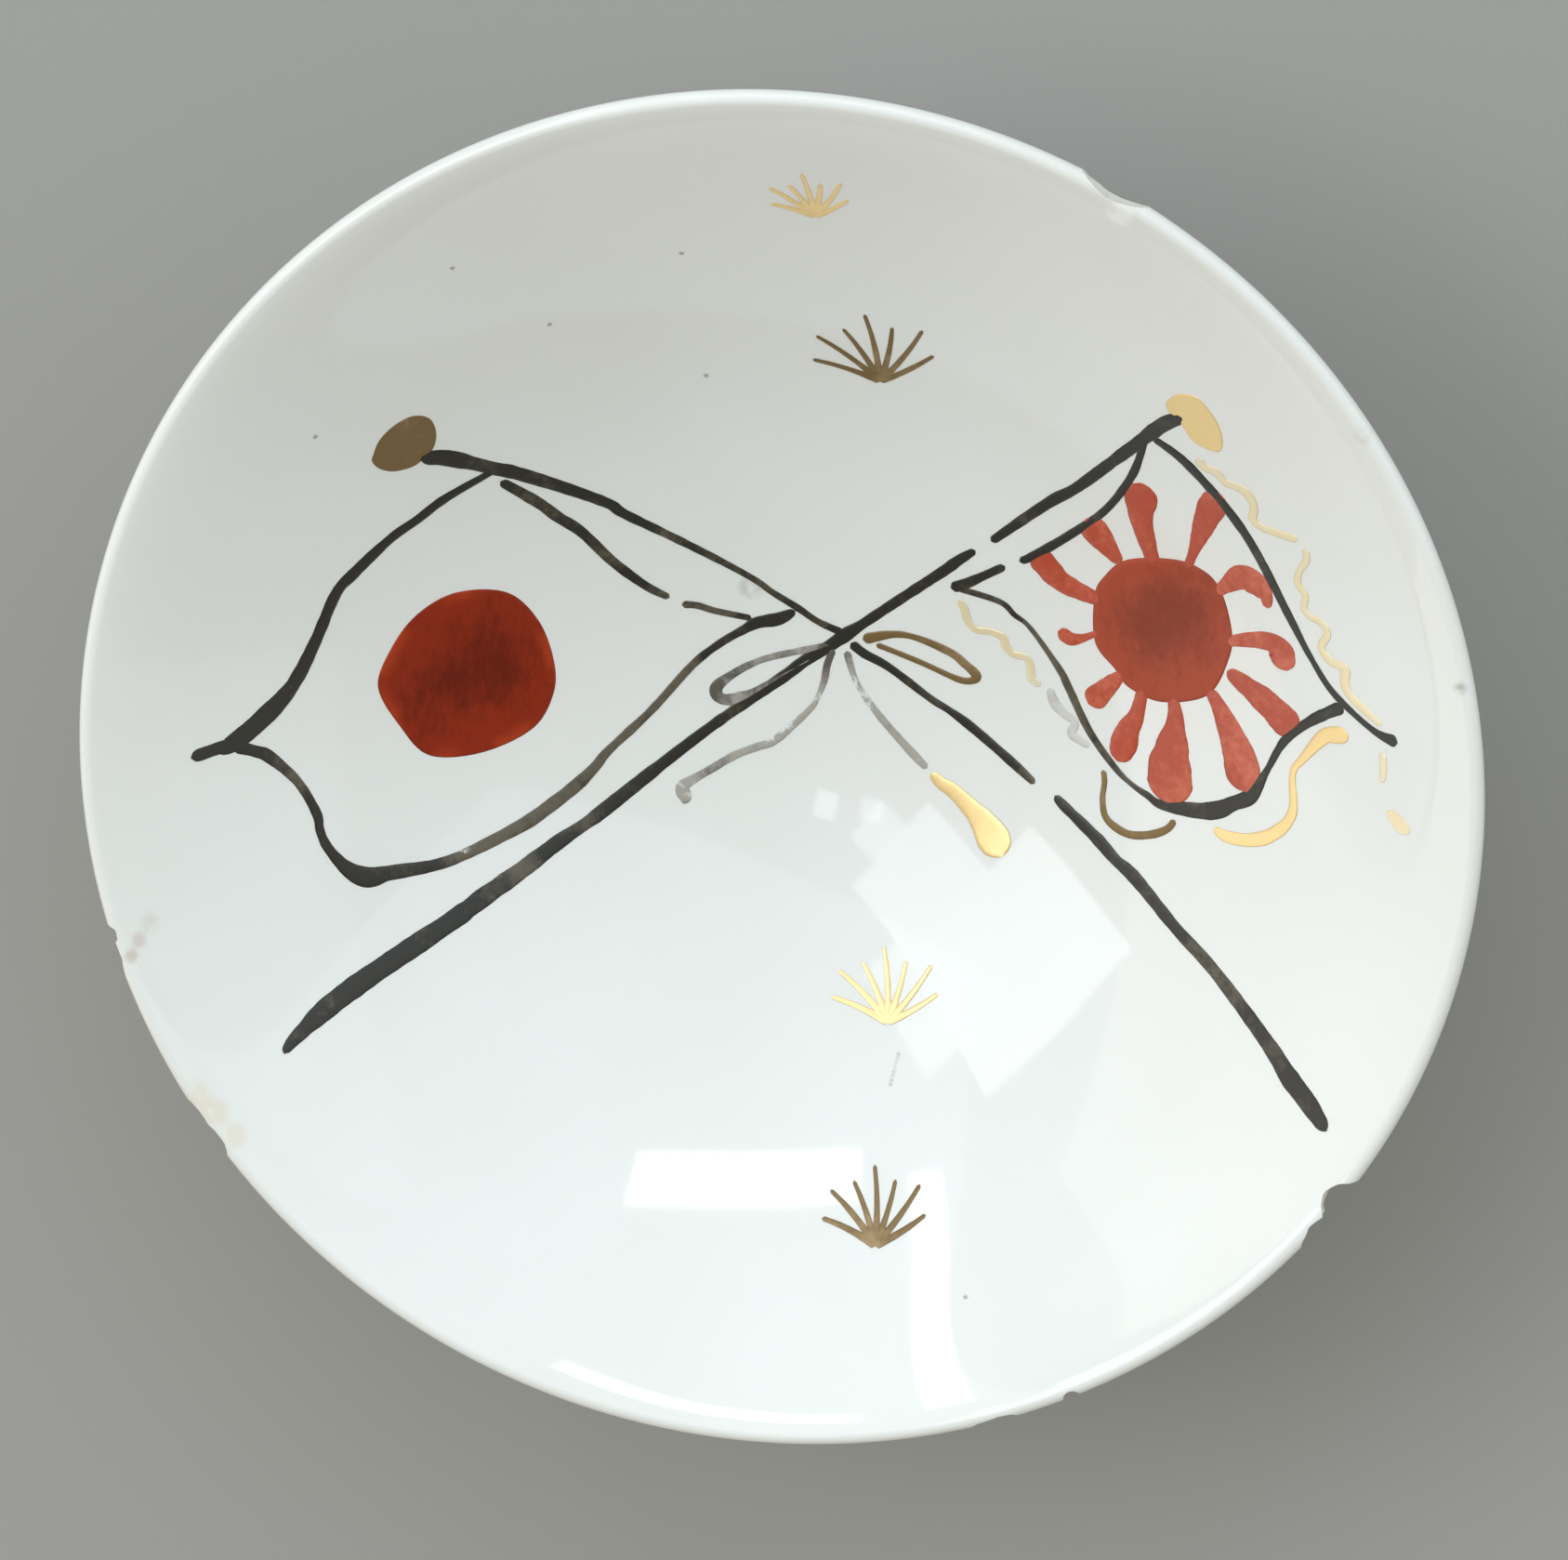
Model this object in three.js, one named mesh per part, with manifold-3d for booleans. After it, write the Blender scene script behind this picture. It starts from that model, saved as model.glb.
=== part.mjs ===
// A shallow porcelain sake cup on a turned foot ring, glazed white inside and out, with
// crossed flags painted inside it in raised overglaze enamels: black line, iron red and gold.
// Millimetres, +Z up. The origin is at the centre of the foot, on the surface it stands on.

import * as THREE from "three";
import { mergeVertices } from "three/addons/utils/BufferGeometryUtils.js";
import Module from "manifold-3d";

const wasm = await Module();
wasm.setup();

// Cup
const rimRadius = 45; // outermost point of the lip
const cupHeight = 30; // foot to the top of the lip
const lipRadius = 0.6; // the lip is a half round
const lipSlope = 33; // degrees, where the everted lip opens out
const lipPower = 24; // of the radius: a higher one opens the wall out nearer to the lip
const floorRadius = 44; // radius of curvature at the bottom of the bowl
const baseThickness = 2.8; // porcelain and both glazes, at the middle
const wellDepth = 4.8; // the hollow inside the foot ring, at the middle

// Foot ring
const footRadius = 17; // outside, where it leaves the bowl
const footTaper = 0.5; // the outside draws in by this on the way down
const footWall = 2.8; // thickness where it leaves the bowl
const footTread = 1.9; // width of the flat that it stands on
const footBevel = 0.35; // rounded edge of the tread

// Glaze and enamel
const glazeThickness = 0.25;
const enamelThickness = 0.2;
const enamelClearance = 0.05; // between the glaze and an enamel
const finestLine = 0.1; // no stroke is thinner
const strokeClearance = 0.12; // between a stroke and one laid before it

// Facets
const turns = 48; // round the cup
const innerRings = 6; // up to where the lip opens out
const outerRings = 4;
const flareRings = 3; // from there to the lip
const flareStart = 0.9; // of the mouth radius
const footRings = 1; // across the top of the foot ring
const wellRings = 2;

// Inside of the bowl: the height is a sum of three powers of the radius. The second power
// sets how round the floor is, and the highest one turns the lip outwards.
const lipAngle = THREE.MathUtils.degToRad(lipSlope);
const lipCentre = new THREE.Vector2(rimRadius - lipRadius, cupHeight - lipRadius);
const mouthRadius = lipCentre.x - lipRadius * Math.sin(lipAngle);
const mouthHeight = lipCentre.y + lipRadius * Math.cos(lipAngle);
const floorHeight = wellDepth + baseThickness;
const bowlDepth = mouthHeight - floorHeight;
const lipRise = (Math.tan(lipAngle) * mouthRadius) / bowlDepth;
const square = mouthRadius ** 2 / (2 * bowlDepth * floorRadius);
const flare = (lipRise - 2 * square - 4 * (1 - square)) / (lipPower - 4);
const fourth = 1 - square - flare;

function bowlHeight(r) {
  const t = r / mouthRadius;
  return floorHeight + bowlDepth * (square * t ** 2 + fourth * t ** 4 + flare * t ** lipPower);
}

function bowlSlope(r) {
  const t = r / mouthRadius;
  const rise = 2 * square * t + 4 * fourth * t ** 3 + lipPower * flare * t ** (lipPower - 1);
  return (rise * bowlDepth) / mouthRadius;
}

// The wall thins from the base out to the lip.
function wallThickness(r) {
  const share = 1 - (r / mouthRadius) ** 2;
  return 2 * lipRadius + (baseThickness - 2 * lipRadius) * share;
}

// A point of the wall's section, at a depth below the inside surface, square to it.
function wallPoint(r, depth) {
  const angle = Math.atan(bowlSlope(r));
  const x = r + depth * Math.sin(angle);
  return new THREE.Vector2(r === 0 ? 0 : x, bowlHeight(r) - depth * Math.cos(angle));
}

const insideOf = (r, skin) => wallPoint(r, skin);
const outsideOf = (r, skin) => wallPoint(r, wallThickness(r) - skin);

// The radius inside the bowl that lies over a radius of its underside.
function radiusOver(undersideRadius) {
  let low = 0;
  let high = undersideRadius;
  for (let i = 0; i < 40; i++) {
    const middle = (low + high) / 2;
    if (outsideOf(middle, 0).x < undersideRadius) low = middle;
    else high = middle;
  }
  return low;
}

function spread(from, to, steps) {
  return Array.from({ length: steps + 1 }, (_, i) => from + ((to - from) * i) / steps);
}

const flareRadius = mouthRadius * flareStart;
const flareRadii = spread(flareRadius, mouthRadius, flareRings).slice(1);
const insideRadii = [...spread(0, flareRadius, innerRings), ...flareRadii];
const overFootOutside = radiusOver(footRadius);
const overFootInside = radiusOver(footRadius - footWall);
const wellRadii = spread(0, overFootInside, wellRings);
const footRadii = spread(overFootInside, overFootOutside, footRings);
const outsideRadii = [...spread(overFootOutside, flareRadius, outerRings), ...flareRadii];

// Half round of the lip, from the inside over its highest and outermost points to the outside.
const lipTurns = [Math.PI / 2 + lipAngle, Math.PI / 2, Math.PI / 4, 0, lipAngle - Math.PI / 2];

function lipPoints(skin) {
  const radius = lipRadius - skin;
  return lipTurns.map((angle) => {
    return new THREE.Vector2(
      lipCentre.x + radius * Math.cos(angle),
      lipCentre.y + radius * Math.sin(angle),
    );
  });
}

// Solids
function revolve(profile) {
  return new THREE.LatheGeometry(profile, turns).rotateX(Math.PI / 2);
}

function toSolid(geometry) {
  const bare = geometry.clone();
  bare.deleteAttribute("normal");
  bare.deleteAttribute("uv");
  const merged = mergeVertices(bare, 1e-4);
  const index = merged.index.array;
  const kept = [];
  for (let i = 0; i < index.length; i += 3) {
    const [a, b, c] = [index[i], index[i + 1], index[i + 2]];
    if (a !== b && b !== c && c !== a) kept.push(a, b, c);
  }
  return new wasm.Manifold(
    new wasm.Mesh({
      numProp: 3,
      vertProperties: merged.attributes.position.array,
      triVerts: new Uint32Array(kept),
    }),
  );
}

function toGeometry(solid) {
  const mesh = solid.getMesh();
  return new THREE.BufferGeometry()
    .setAttribute("position", new THREE.BufferAttribute(mesh.vertProperties, 3))
    .setIndex(new THREE.BufferAttribute(mesh.triVerts, 1));
}

const cup = new THREE.Group();

function add(name, solid, material) {
  const geometry = toGeometry(solid);
  geometry.computeVertexNormals();
  const mesh = new THREE.Mesh(geometry, material);
  mesh.name = name;
  cup.add(mesh);
}

// Materials
function finish(color, roughness, metalness = 0) {
  return new THREE.MeshStandardMaterial({ color, roughness, metalness });
}

const porcelain = finish(0xe6e3dc, 0.6);
const glaze = finish(0xe8ebe8, 0.1);
const blackEnamel = finish(0x221f19, 0.35);
const redEnamel = finish(0xb5382a, 0.35);
const darkRedEnamel = finish(0x74281a, 0.35);
const gold = finish(0xd9b877, 0.3, 0.8);
const wornGold = finish(0x8f7040, 0.5, 0.5);

// Chips that the lip has lost: degrees round the cup, depth, and radius of the scoop
const chips = [
  { angle: 61.7, depth: 0.7, scoop: 5 },
  { angle: -35.2, depth: 1.25, scoop: 2.1 },
  { angle: -38.3, depth: 0.65, scoop: 3 },
  { angle: -64, depth: 0.57, scoop: 0.8 },
  { angle: -70.9, depth: 0.54, scoop: 3 },
  { angle: -145, depth: 0.7, scoop: 2.4 },
  { angle: -147, depth: 0.5, scoop: 4.5 },
  { angle: -162.6, depth: 0.42, scoop: 4 },
  { angle: -164.4, depth: 0.62, scoop: 0.8 },
];

const shortestScoop = 2.4; // half the height of a scoop, so that each goes through the lip
const scoopSplits = 2; // of each edge of the scoop's facets

function chipSolid({ angle, depth, scoop }) {
  const around = THREE.MathUtils.degToRad(angle);
  const distance = rimRadius - depth + scoop;
  const geometry = new THREE.IcosahedronGeometry(scoop, scoopSplits);
  geometry.scale(1, 1, Math.max(1, shortestScoop / scoop));
  geometry.rotateZ(around);
  geometry.translate(
    distance * Math.cos(around),
    distance * Math.sin(around),
    lipCentre.y,
  );
  return toSolid(geometry);
}

const lostChips = chips.map(chipSolid).reduce((all, one) => all.add(one));

function largest(solid) {
  const parts = solid.decompose();
  return parts.reduce((best, one) => (one.volume() > best.volume() ? one : best));
}

// Crumbs that hang on between two scoops are lost with them.
const chipped = (solid) => largest(solid.subtract(lostChips));

// Body: one even shell of porcelain under its glazes
const bodyProfile = [
  ...wellRadii.map((r) => outsideOf(r, glazeThickness)),
  ...footRadii.slice(1).map((r) => outsideOf(r, glazeThickness)),
  ...outsideRadii.slice(1, -1).map((r) => outsideOf(r, glazeThickness)),
  ...lipPoints(glazeThickness).reverse(),
  ...insideRadii
    .slice(0, -1)
    .reverse()
    .map((r) => insideOf(r, glazeThickness)),
];
add("bowl_body", chipped(toSolid(revolve(bodyProfile))), porcelain);

// Foot ring: its top follows the underside of the bowl, and its tread is left unglazed
const treadOuter = footRadius - footTaper - footBevel;
const treadInner = treadOuter - footTread;
const footInner = footRadius - footWall;
const footTop = footRadii.map((r) => outsideOf(r, glazeThickness));
const footProfile = [
  new THREE.Vector2(treadInner, 0),
  new THREE.Vector2(treadOuter, 0),
  new THREE.Vector2(treadOuter + footBevel, footBevel),
  outsideOf(overFootOutside, 0),
  ...footTop.reverse(),
  outsideOf(overFootInside, 0),
  new THREE.Vector2(footInner + footBevel / 2, footBevel * 3),
  new THREE.Vector2(treadInner, 0),
];
add("foot_ring", toSolid(revolve(footProfile)), porcelain);

// Glaze: three coats of one thickness, fused to the body where it is not foot ring
const lipHalf = 2; // the place in lipTurns where the two coats meet

function coat(outer, inner) {
  const profile = [...outer, ...inner.slice().reverse()];
  const closed = outer[0].x === 0 ? profile : [...profile, outer[0]];
  return toSolid(revolve(closed));
}

function insidePath(skin) {
  const rim = lipPoints(skin).slice(0, lipHalf + 1);
  return [...insideRadii.slice(0, -1).map((r) => insideOf(r, skin)), ...rim];
}

function outsidePath(skin) {
  const rim = lipPoints(skin).slice(lipHalf).reverse();
  return [...outsideRadii.slice(0, -1).map((r) => outsideOf(r, skin)), ...rim];
}

const wellPath = (skin) => wellRadii.map((r) => outsideOf(r, skin));
const insideCoat = coat(insidePath(glazeThickness), insidePath(0));
const outsideCoat = coat(outsidePath(0), outsidePath(glazeThickness));
add("inside_glaze", chipped(insideCoat), glaze);
add("outside_glaze", chipped(outsideCoat), glaze);
add("foot_well_glaze", coat(wellPath(0), wellPath(glazeThickness)), glaze);

// Enamels: each painted shape is a prism over its outline, cut to a thin skin that lies
// just over the glaze. A stroke stops where it meets one that was laid before it.
function enamelSkin(lift) {
  return insideRadii.map((r) => insideOf(r, 0).add(new THREE.Vector2(0, lift)));
}

const skinOfEnamel = coat(
  enamelSkin(enamelClearance),
  enamelSkin(enamelClearance + enamelThickness),
);

function prism(outline) {
  const shape = new THREE.Shape(outline);
  const settings = { depth: cupHeight, bevelEnabled: false };
  return toSolid(new THREE.ExtrudeGeometry(shape, settings).translate(0, 0, floorHeight / 2));
}

// The painting was measured on a cup of this rim radius. It grows and shrinks with the rim.
const paintedRim = 45;
const paintScale = rimRadius / paintedRim;

// A brush stroke runs through points of x, y and width.
function strokeOutline(points, steps, growth = 0) {
  const scaled = points.map((p) => new THREE.Vector3(...p).multiplyScalar(paintScale));
  const path = new THREE.CatmullRomCurve3(scaled);
  const left = [];
  const right = [];
  const ends = [];
  for (let i = 0; i <= steps; i++) {
    const at = path.getPoint(i / steps);
    const along = path.getTangent(i / steps).setZ(0).normalize();
    const half = Math.max(at.z, finestLine) / 2 + growth;
    left.push(new THREE.Vector2(at.x - along.y * half, at.y + along.x * half));
    right.push(new THREE.Vector2(at.x + along.y * half, at.y - along.x * half));
    const reach = i === 0 ? -half : half;
    const tip = new THREE.Vector2(at.x + along.x * reach, at.y + along.y * reach);
    if (i === 0 || i === steps) ends.push(tip);
  }
  return [ends[0], ...right, ends[1], ...left.reverse()];
}

// A pool of enamel fills a soft closed curve through its corners.
function poolOutline(corners, growth = 0) {
  const scaled = corners.map((p) => new THREE.Vector3(...p, 0).multiplyScalar(paintScale));
  const edge = new THREE.CatmullRomCurve3(scaled, true);
  const spots = edge.getPoints(corners.length * 2).slice(0, -1);
  const middle = spots.reduce((sum, p) => sum.add(p), new THREE.Vector3());
  middle.divideScalar(spots.length);
  return spots.map((p) => {
    const away = p.clone().sub(middle);
    const grown = middle.clone().add(away.setLength(away.length() + growth));
    return new THREE.Vector2(grown.x, grown.y);
  });
}

const laid = [];

function lay(name, outlineOf, material) {
  let shape = prism(outlineOf(0));
  for (const earlier of laid) shape = shape.subtract(earlier);
  laid.push(prism(outlineOf(strokeClearance)));
  add(name, largest(shape.intersect(skinOfEnamel)), material);
}

function stroke(name, points, material, steps = points.length + 2) {
  lay(name, (growth) => strokeOutline(points, steps, growth), material);
}

function pool(name, corners, material) {
  lay(name, (growth) => poolOutline(corners, growth), material);
}

// Poles: the right one is painted whole, and the left one in two halves up to it
stroke(
  "right_pole",
  [
    [24.8, 22.9, 0.8], [23.5, 22.1, 1.1], [17.6, 16.3, 0.8], [11.5, 11.3, 0.5],
    [10.4, 10.5, 0.5], [7.9, 8.5, 0.8], [3.1, 4.8, 0.7], [1.6, 3.7, 0.9], [-7.7, -3.2, 0.8],
    [-15.4, -9.2, 0.9], [-23.7, -14.8, 1.4], [-29.7, -18.3, 1.5], [-32.9, -21.2, 0.5],
  ],
  blackEnamel,
);
stroke(
  "left_pole_upper",
  [
    [-24.7, 17.4, 0.9], [-23.2, 17.3, 1.2], [-20.4, 16.2, 0.9], [-13.8, 13.2, 0.8],
    [-12.2, 12, 0.7], [-5.1, 7.8, 0.5], [-0.3, 4.5, 0.5], [1.3, 3.8, 0.6],
  ],
  blackEnamel,
);
stroke(
  "left_pole_lower",
  [
    [1.9, 3.1, 0.7], [2.8, 2.4, 0.7], [4.4, 1.6, 0.6], [7.2, -0.3, 0.5], [10.1, -2, 0.7],
    [14.5, -5.2, 0.5],
    [15.9, -5.8, 0.5], [21.6, -10.1, 0.9], [24.5, -12.6, 0.9], [27.3, -14.6, 0.9],
    [32.7, -19.4, 1.4], [35.5, -21.8, 0.6],
  ],
  blackEnamel,
);

// Gilt finials on the poles
pool(
  "left_finial",
  [
    [-27.4, 18.1], [-26.9, 19.2], [-25.9, 20.2], [-24.8, 20.7], [-23.9, 20.4], [-23.6, 19.4],
    [-23.8, 18.3], [-24.4, 17.5], [-25.2, 16.9], [-26.3, 16.7], [-27.1, 17], [-27.5, 17.6],
  ],
  wornGold,
);
pool(
  "right_finial",
  [
    [23.8, 23.9], [24.6, 24.7], [25.7, 24.8], [26.4, 24.3], [27.2, 23.1], [27.5, 21.9],
    [27.3, 21], [26.5, 20.9], [25.5, 21.3], [24.9, 22.1], [24.5, 22.8], [23.9, 23.2],
  ],
  gold,
);

// Flag on the left: a plain field with a red sun
stroke(
  "plain_flag_outer_edge",
  [
    [-20.5, 16, 0.5], [-26.9, 11.8, 0.7], [-30.3, 8.3, 0.7], [-31.6, 5.2, 0.8], [-33, 2.4, 0.9],
    [-34.8, 0.4, 1.3], [-36.5, -0.9, 1.2], [-37.2, -1, 0.8], [-38.7, -1.3, 0.8],
  ],
  blackEnamel,
);
stroke(
  "plain_flag_lower_edge",
  [
    [-36.3, -1.1, 0.8], [-35.1, -1.7, 0.8], [-32.8, -4.2, 0.5], [-31.7, -6.5, 0.6],
    [-31.1, -8.7, 0.6], [-29.5, -10.7, 1.1], [-28.5, -11.2, 1.3], [-24.8, -11, 0.8],
    [-22.8, -10.5, 0.8], [-19.4, -9, 0.9], [-16, -6.6, 0.9], [-14, -4.4, 0.6],
    [-11.3, -1.8, 0.6], [-8.6, 1.3, 0.6], [-5.2, 3.8, 0.6], [-2.9, 4.6, 0.9], [-1.8, 5.2, 0.5],
  ],
  blackEnamel,
);
stroke(
  "plain_flag_fold_line",
  [
    [-20.1, 15.2, 0.7], [-15.4, 11.1, 0.8], [-13.5, 8.8, 0.7], [-10.8, 6.5, 0.6],
    [-10, 6.1, 0.5],
    [-9.2, 5.6, 0.6], [-4.7, 4.6, 0.5],
  ],
  blackEnamel,
);
pool(
  "plain_flag_sun",
  [
    [-28.1, 1.4], [-27.3, 3.9], [-25.7, 6.1], [-23.3, 7.4], [-20.2, 7.1], [-18.3, 4.9],
    [-17.4, 1.9], [-17.5, -0.4], [-18.8, -2.6], [-21.9, -3.9], [-25.1, -3.7], [-26.9, -1.4],
  ],
  redEnamel,
);

// Flag on the right: a sun with twelve short rays that fill the field
stroke(
  "rayed_flag_outer_edge",
  [
    [22.8, 20.9, 0.5], [25.2, 19.3, 0.7], [28.8, 15.3, 0.7], [33.3, 7.6, 0.5], [34.9, 5.6, 0.5],
    [37.5, 4, 0.5], [39.2, 3.7, 1.1],
  ],
  blackEnamel,
);
stroke(
  "rayed_flag_lower_edge",
  [
    [9.2, 7.6, 0.5], [12, 7, 0.4], [13, 6.2, 0.4], [14.1, 5.4, 0.4], [16.1, 2.8, 0.5],
    [18.2, -1.1, 0.6], [21.2, -4.1, 0.4], [23.3, -5, 0.7], [24.6, -5, 0.8], [27.2, -4.4, 1.2],
    [29.4, -2.9, 0.9], [30.4, -1, 0.5], [31.6, 1.4, 0.6], [33.4, 3.3, 0.7], [35.5, 4.9, 0.8],
  ],
  blackEnamel,
);
stroke(
  "rayed_flag_fold_line",
  [
    [22.2, 20.7, 0.5], [21.3, 17.9, 0.6], [19.4, 14.9, 0.5], [16.8, 12.5, 0.6],
    [13.4, 10.1, 0.5],
    [12.4, 9.6, 0.6], [8.7, 7.6, 0.8],
  ],
  blackEnamel,
);
pool(
  "rayed_flag_sun",
  [
    [18.5, 8.5], [18.5, 5.2], [19.9, 3.5], [20.9, 2.4], [23.2, 1.9], [26.3, 3.1], [27.7, 5.9],
    [27.9, 8.1], [27, 11], [25.3, 12.1], [23.2, 12.1], [20.6, 11.4], [19.2, 10],
  ],
  darkRedEnamel,
);

// Each ray is a club-shaped stroke, pulled outwards from the sun.
const rays = [
  [[27.4, 7.1, 0.7], [30.5, 7.9, 1.4], [31.4, 7, 1.8]],
  [[26.3, 9.9, 0.6], [28.6, 12, 1.8], [29.5, 11.8, 1.8], [30.2, 11.1, 1.1], [30.3, 10.6, 0.8]],
  [[24.9, 11.8, 0.6], [26.8, 17, 1.9]],
  [[22.6, 11.5, 0.9], [21.8, 14.5, 1.6], [21.8, 16.3, 2.3]],
  [[20.3, 11.1, 0.8], [18.6, 13.2, 2.1]],
  [[19.2, 8.1, 0.9], [16.4, 9, 1.6], [15, 10.3, 1.9]],
  [[18.8, 5.9, 0.4], [17.7, 5.3, 0.6], [16.9, 5.1, 0.9], [16.4, 5.3, 1]],
  [[20.4, 3.3, 0.8], [18.6, 1.3, 1.6]],
  [[21.8, 2.4, 0.8], [21.4, 0.6, 1.1], [20.4, -2, 1.7]],
  [[23.9, 2.3, 0.9], [24.1, 0.8, 1.3], [23.8, -3.4, 3.1]],
  [[26.4, 3.5, 0.8], [28.5, -0.4, 2.4], [28.8, -1.7, 2.4]],
  [[27.6, 5.1, 0.9], [31.6, 2.7, 2.2]],
];
rays.forEach((points, i) => {
  stroke("sun_ray_" + String(i + 1).padStart(2, "0"), points, redEnamel);
});

// Cord: a bow tied over the crossing, in two loops and two tails, with a tassel on the right
stroke(
  "cord_loop_left",
  [
    [0.5, 2.9, 0.4], [-3.4, 1.9, 0.5], [-6.2, 0.5, 0.6], [-7, -0.2, 0.8], [-7, -0.8, 0.8],
    [-6.5, -1.1, 0.8], [-5.6, -1, 0.8], [-4.3, -0.4, 0.5], [-0.9, 1.8, 0.4],
  ],
  wornGold,
);
stroke(
  "cord_loop_right",
  [
    [2.7, 3.4, 0.8], [4.7, 3.9, 0.5], [6.3, 3.8, 0.5], [8.6, 3, 0.6], [10.4, 1.6, 0.7],
    [9.1, 1.2, 0.5], [3.6, 3.1, 0.4],
  ],
  wornGold,
);
stroke(
  "cord_tail_left",
  [
    [0.7, 2.6, 0.5], [0.3, 1.5, 0.5], [-0.3, -0.7, 0.3], [-3.1, -3.8, 0.6], [-5.8, -4.9, 0.6],
    [-8.5, -6.5, 0.6], [-9.2, -7, 0.9], [-9, -7.7, 0.8], [-9.1, -8.1, 0.6],
  ],
  wornGold,
);
stroke(
  "cord_tail_right",
  [
    [1.6, 2.5, 0.6], [2.3, 0.3, 0.4], [3.8, -1.8, 0.5], [7.1, -5.1, 0.5],
  ],
  wornGold,
);
stroke(
  "cord_tassel",
  [
    [7.4, -5.4, 0.6], [9.9, -7.2, 1.2], [11.7, -9.1, 2.4], [12.4, -10.3, 2.4],
  ],
  gold,
);

// Fringe: a wavering gilt line round the rayed flag, two loose loops and a bead
stroke(
  "fringe_upper",
  [
    [25.7, 20.1, 0.7], [26.2, 19.5, 0.6], [27, 19.3, 0.6], [27.6, 18.7, 0.6], [29.1, 18.2, 0.7],
    [29.5, 17.3, 0.6], [29.4, 16.5, 0.6], [30.1, 16, 0.6], [32.4, 15.8, 0.6],
  ],
  gold,
);
stroke(
  "fringe_outer",
  [
    [32.9, 15.3, 0.5], [33, 14.5, 0.5], [32.4, 12.6, 0.5], [32.9, 11.9, 0.5], [32.8, 11, 0.5],
    [33.2, 10.5, 0.5], [34, 10.3, 0.5], [34.4, 9.6, 0.5], [34, 8.6, 0.6], [34.6, 7.8, 0.6],
    [35.6, 7.6, 0.7], [35.6, 6.6, 0.7], [36.1, 5.7, 0.6], [38.1, 4.5, 0.5],
  ],
  gold,
);
stroke(
  "fringe_inner",
  [
    [9.2, 6.8, 0.5], [9.6, 6.2, 0.6], [9.8, 5.4, 0.6], [10.4, 4.8, 0.5], [11.3, 4.8, 0.5],
    [12.2, 4.5, 0.6], [12.4, 3.9, 0.6], [12.9, 3.4, 0.5], [13.8, 3.3, 0.5], [14.2, 1.9, 0.6],
    [14.8, 1.5, 0.5],
  ],
  gold,
);
stroke(
  "fringe_faded",
  [
    [15.4, 1.4, 0.5], [15.8, 0.4, 0.8], [17.2, -0.7, 0.5], [17, -1.5, 0.6], [18.2, -2.1, 0.5],
  ],
  gold,
);
stroke(
  "fringe_arc_right",
  [
    [35.9, 3.1, 1.1], [34.2, 2.4, 0.9], [32.2, -0.6, 0.5], [32.3, -2.7, 0.6], [31.5, -4.5, 0.8],
    [29.1, -5.9, 0.9], [27.7, -6, 0.8], [26.9, -5.7, 0.5],
  ],
  gold,
);
stroke(
  "fringe_arc_left",
  [
    [19.2, -3.5, 0.4], [19.4, -6.5, 0.5], [21.2, -7.4, 0.6], [23.7, -6.5, 0.5],
    [24.2, -5.8, 0.5],
  ],
  wornGold,
);
stroke(
  "fringe_drip",
  [
    [38.2, 2.7, 0.5], [38.2, 0.7, 0.5],
  ],
  gold,
);
pool(
  "fringe_bead",
  [
    [38.6, -1.2], [39.1, -0.9], [39.8, -1.2], [40.2, -1.8], [39.9, -2.2], [39.2, -2.1],
  ],
  gold,
);

// Gilt pine sprigs above and below the flags: needles that fan out from one bud
const needleWidth = 0.45;
const needleTip = 0.2;
const needles = 7;
const fanDegrees = 130;

function sprig(name, [x, y], length, material) {
  const shape = spread(90 - fanDegrees / 2, 90 + fanDegrees / 2, needles - 1)
    .map((degrees) => {
      const angle = THREE.MathUtils.degToRad(degrees);
      const tip = [x + length * Math.cos(angle), y + length * Math.sin(angle), needleTip];
      return prism(strokeOutline([[x, y, needleWidth], tip], 1));
    })
    .reduce((all, one) => all.add(one));
  add(name, largest(shape.intersect(skinOfEnamel)), material);
}

sprig("gilt_sprig_top", [1.6, 35.4], 3.6, gold);
sprig("gilt_sprig_upper", [4.6, 22.6], 5.6, wornGold);
sprig("gilt_sprig_lower", [5.2, -21.4], 5, gold);
sprig("gilt_sprig_bottom", [5.6, -34], 4.8, wornGold);

export default cup;
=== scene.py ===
import math

import bmesh
import bpy
from mathutils import Matrix, Vector, noise


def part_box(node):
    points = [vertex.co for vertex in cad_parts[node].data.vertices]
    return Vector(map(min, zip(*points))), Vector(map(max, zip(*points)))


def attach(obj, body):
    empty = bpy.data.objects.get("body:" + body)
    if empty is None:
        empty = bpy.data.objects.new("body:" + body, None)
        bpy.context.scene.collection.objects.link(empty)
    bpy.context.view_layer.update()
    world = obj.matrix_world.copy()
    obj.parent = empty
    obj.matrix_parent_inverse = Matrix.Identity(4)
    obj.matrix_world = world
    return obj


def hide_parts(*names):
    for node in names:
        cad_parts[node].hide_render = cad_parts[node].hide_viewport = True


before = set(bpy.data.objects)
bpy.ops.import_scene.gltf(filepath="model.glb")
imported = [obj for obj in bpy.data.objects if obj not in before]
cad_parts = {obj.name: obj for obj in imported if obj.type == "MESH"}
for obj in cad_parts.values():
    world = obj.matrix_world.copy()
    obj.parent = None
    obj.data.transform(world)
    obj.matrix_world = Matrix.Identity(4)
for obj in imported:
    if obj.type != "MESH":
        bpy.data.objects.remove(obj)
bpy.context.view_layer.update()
scene = bpy.context.scene
scene.view_settings.view_transform = "Standard"
MM = 0.001

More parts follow.
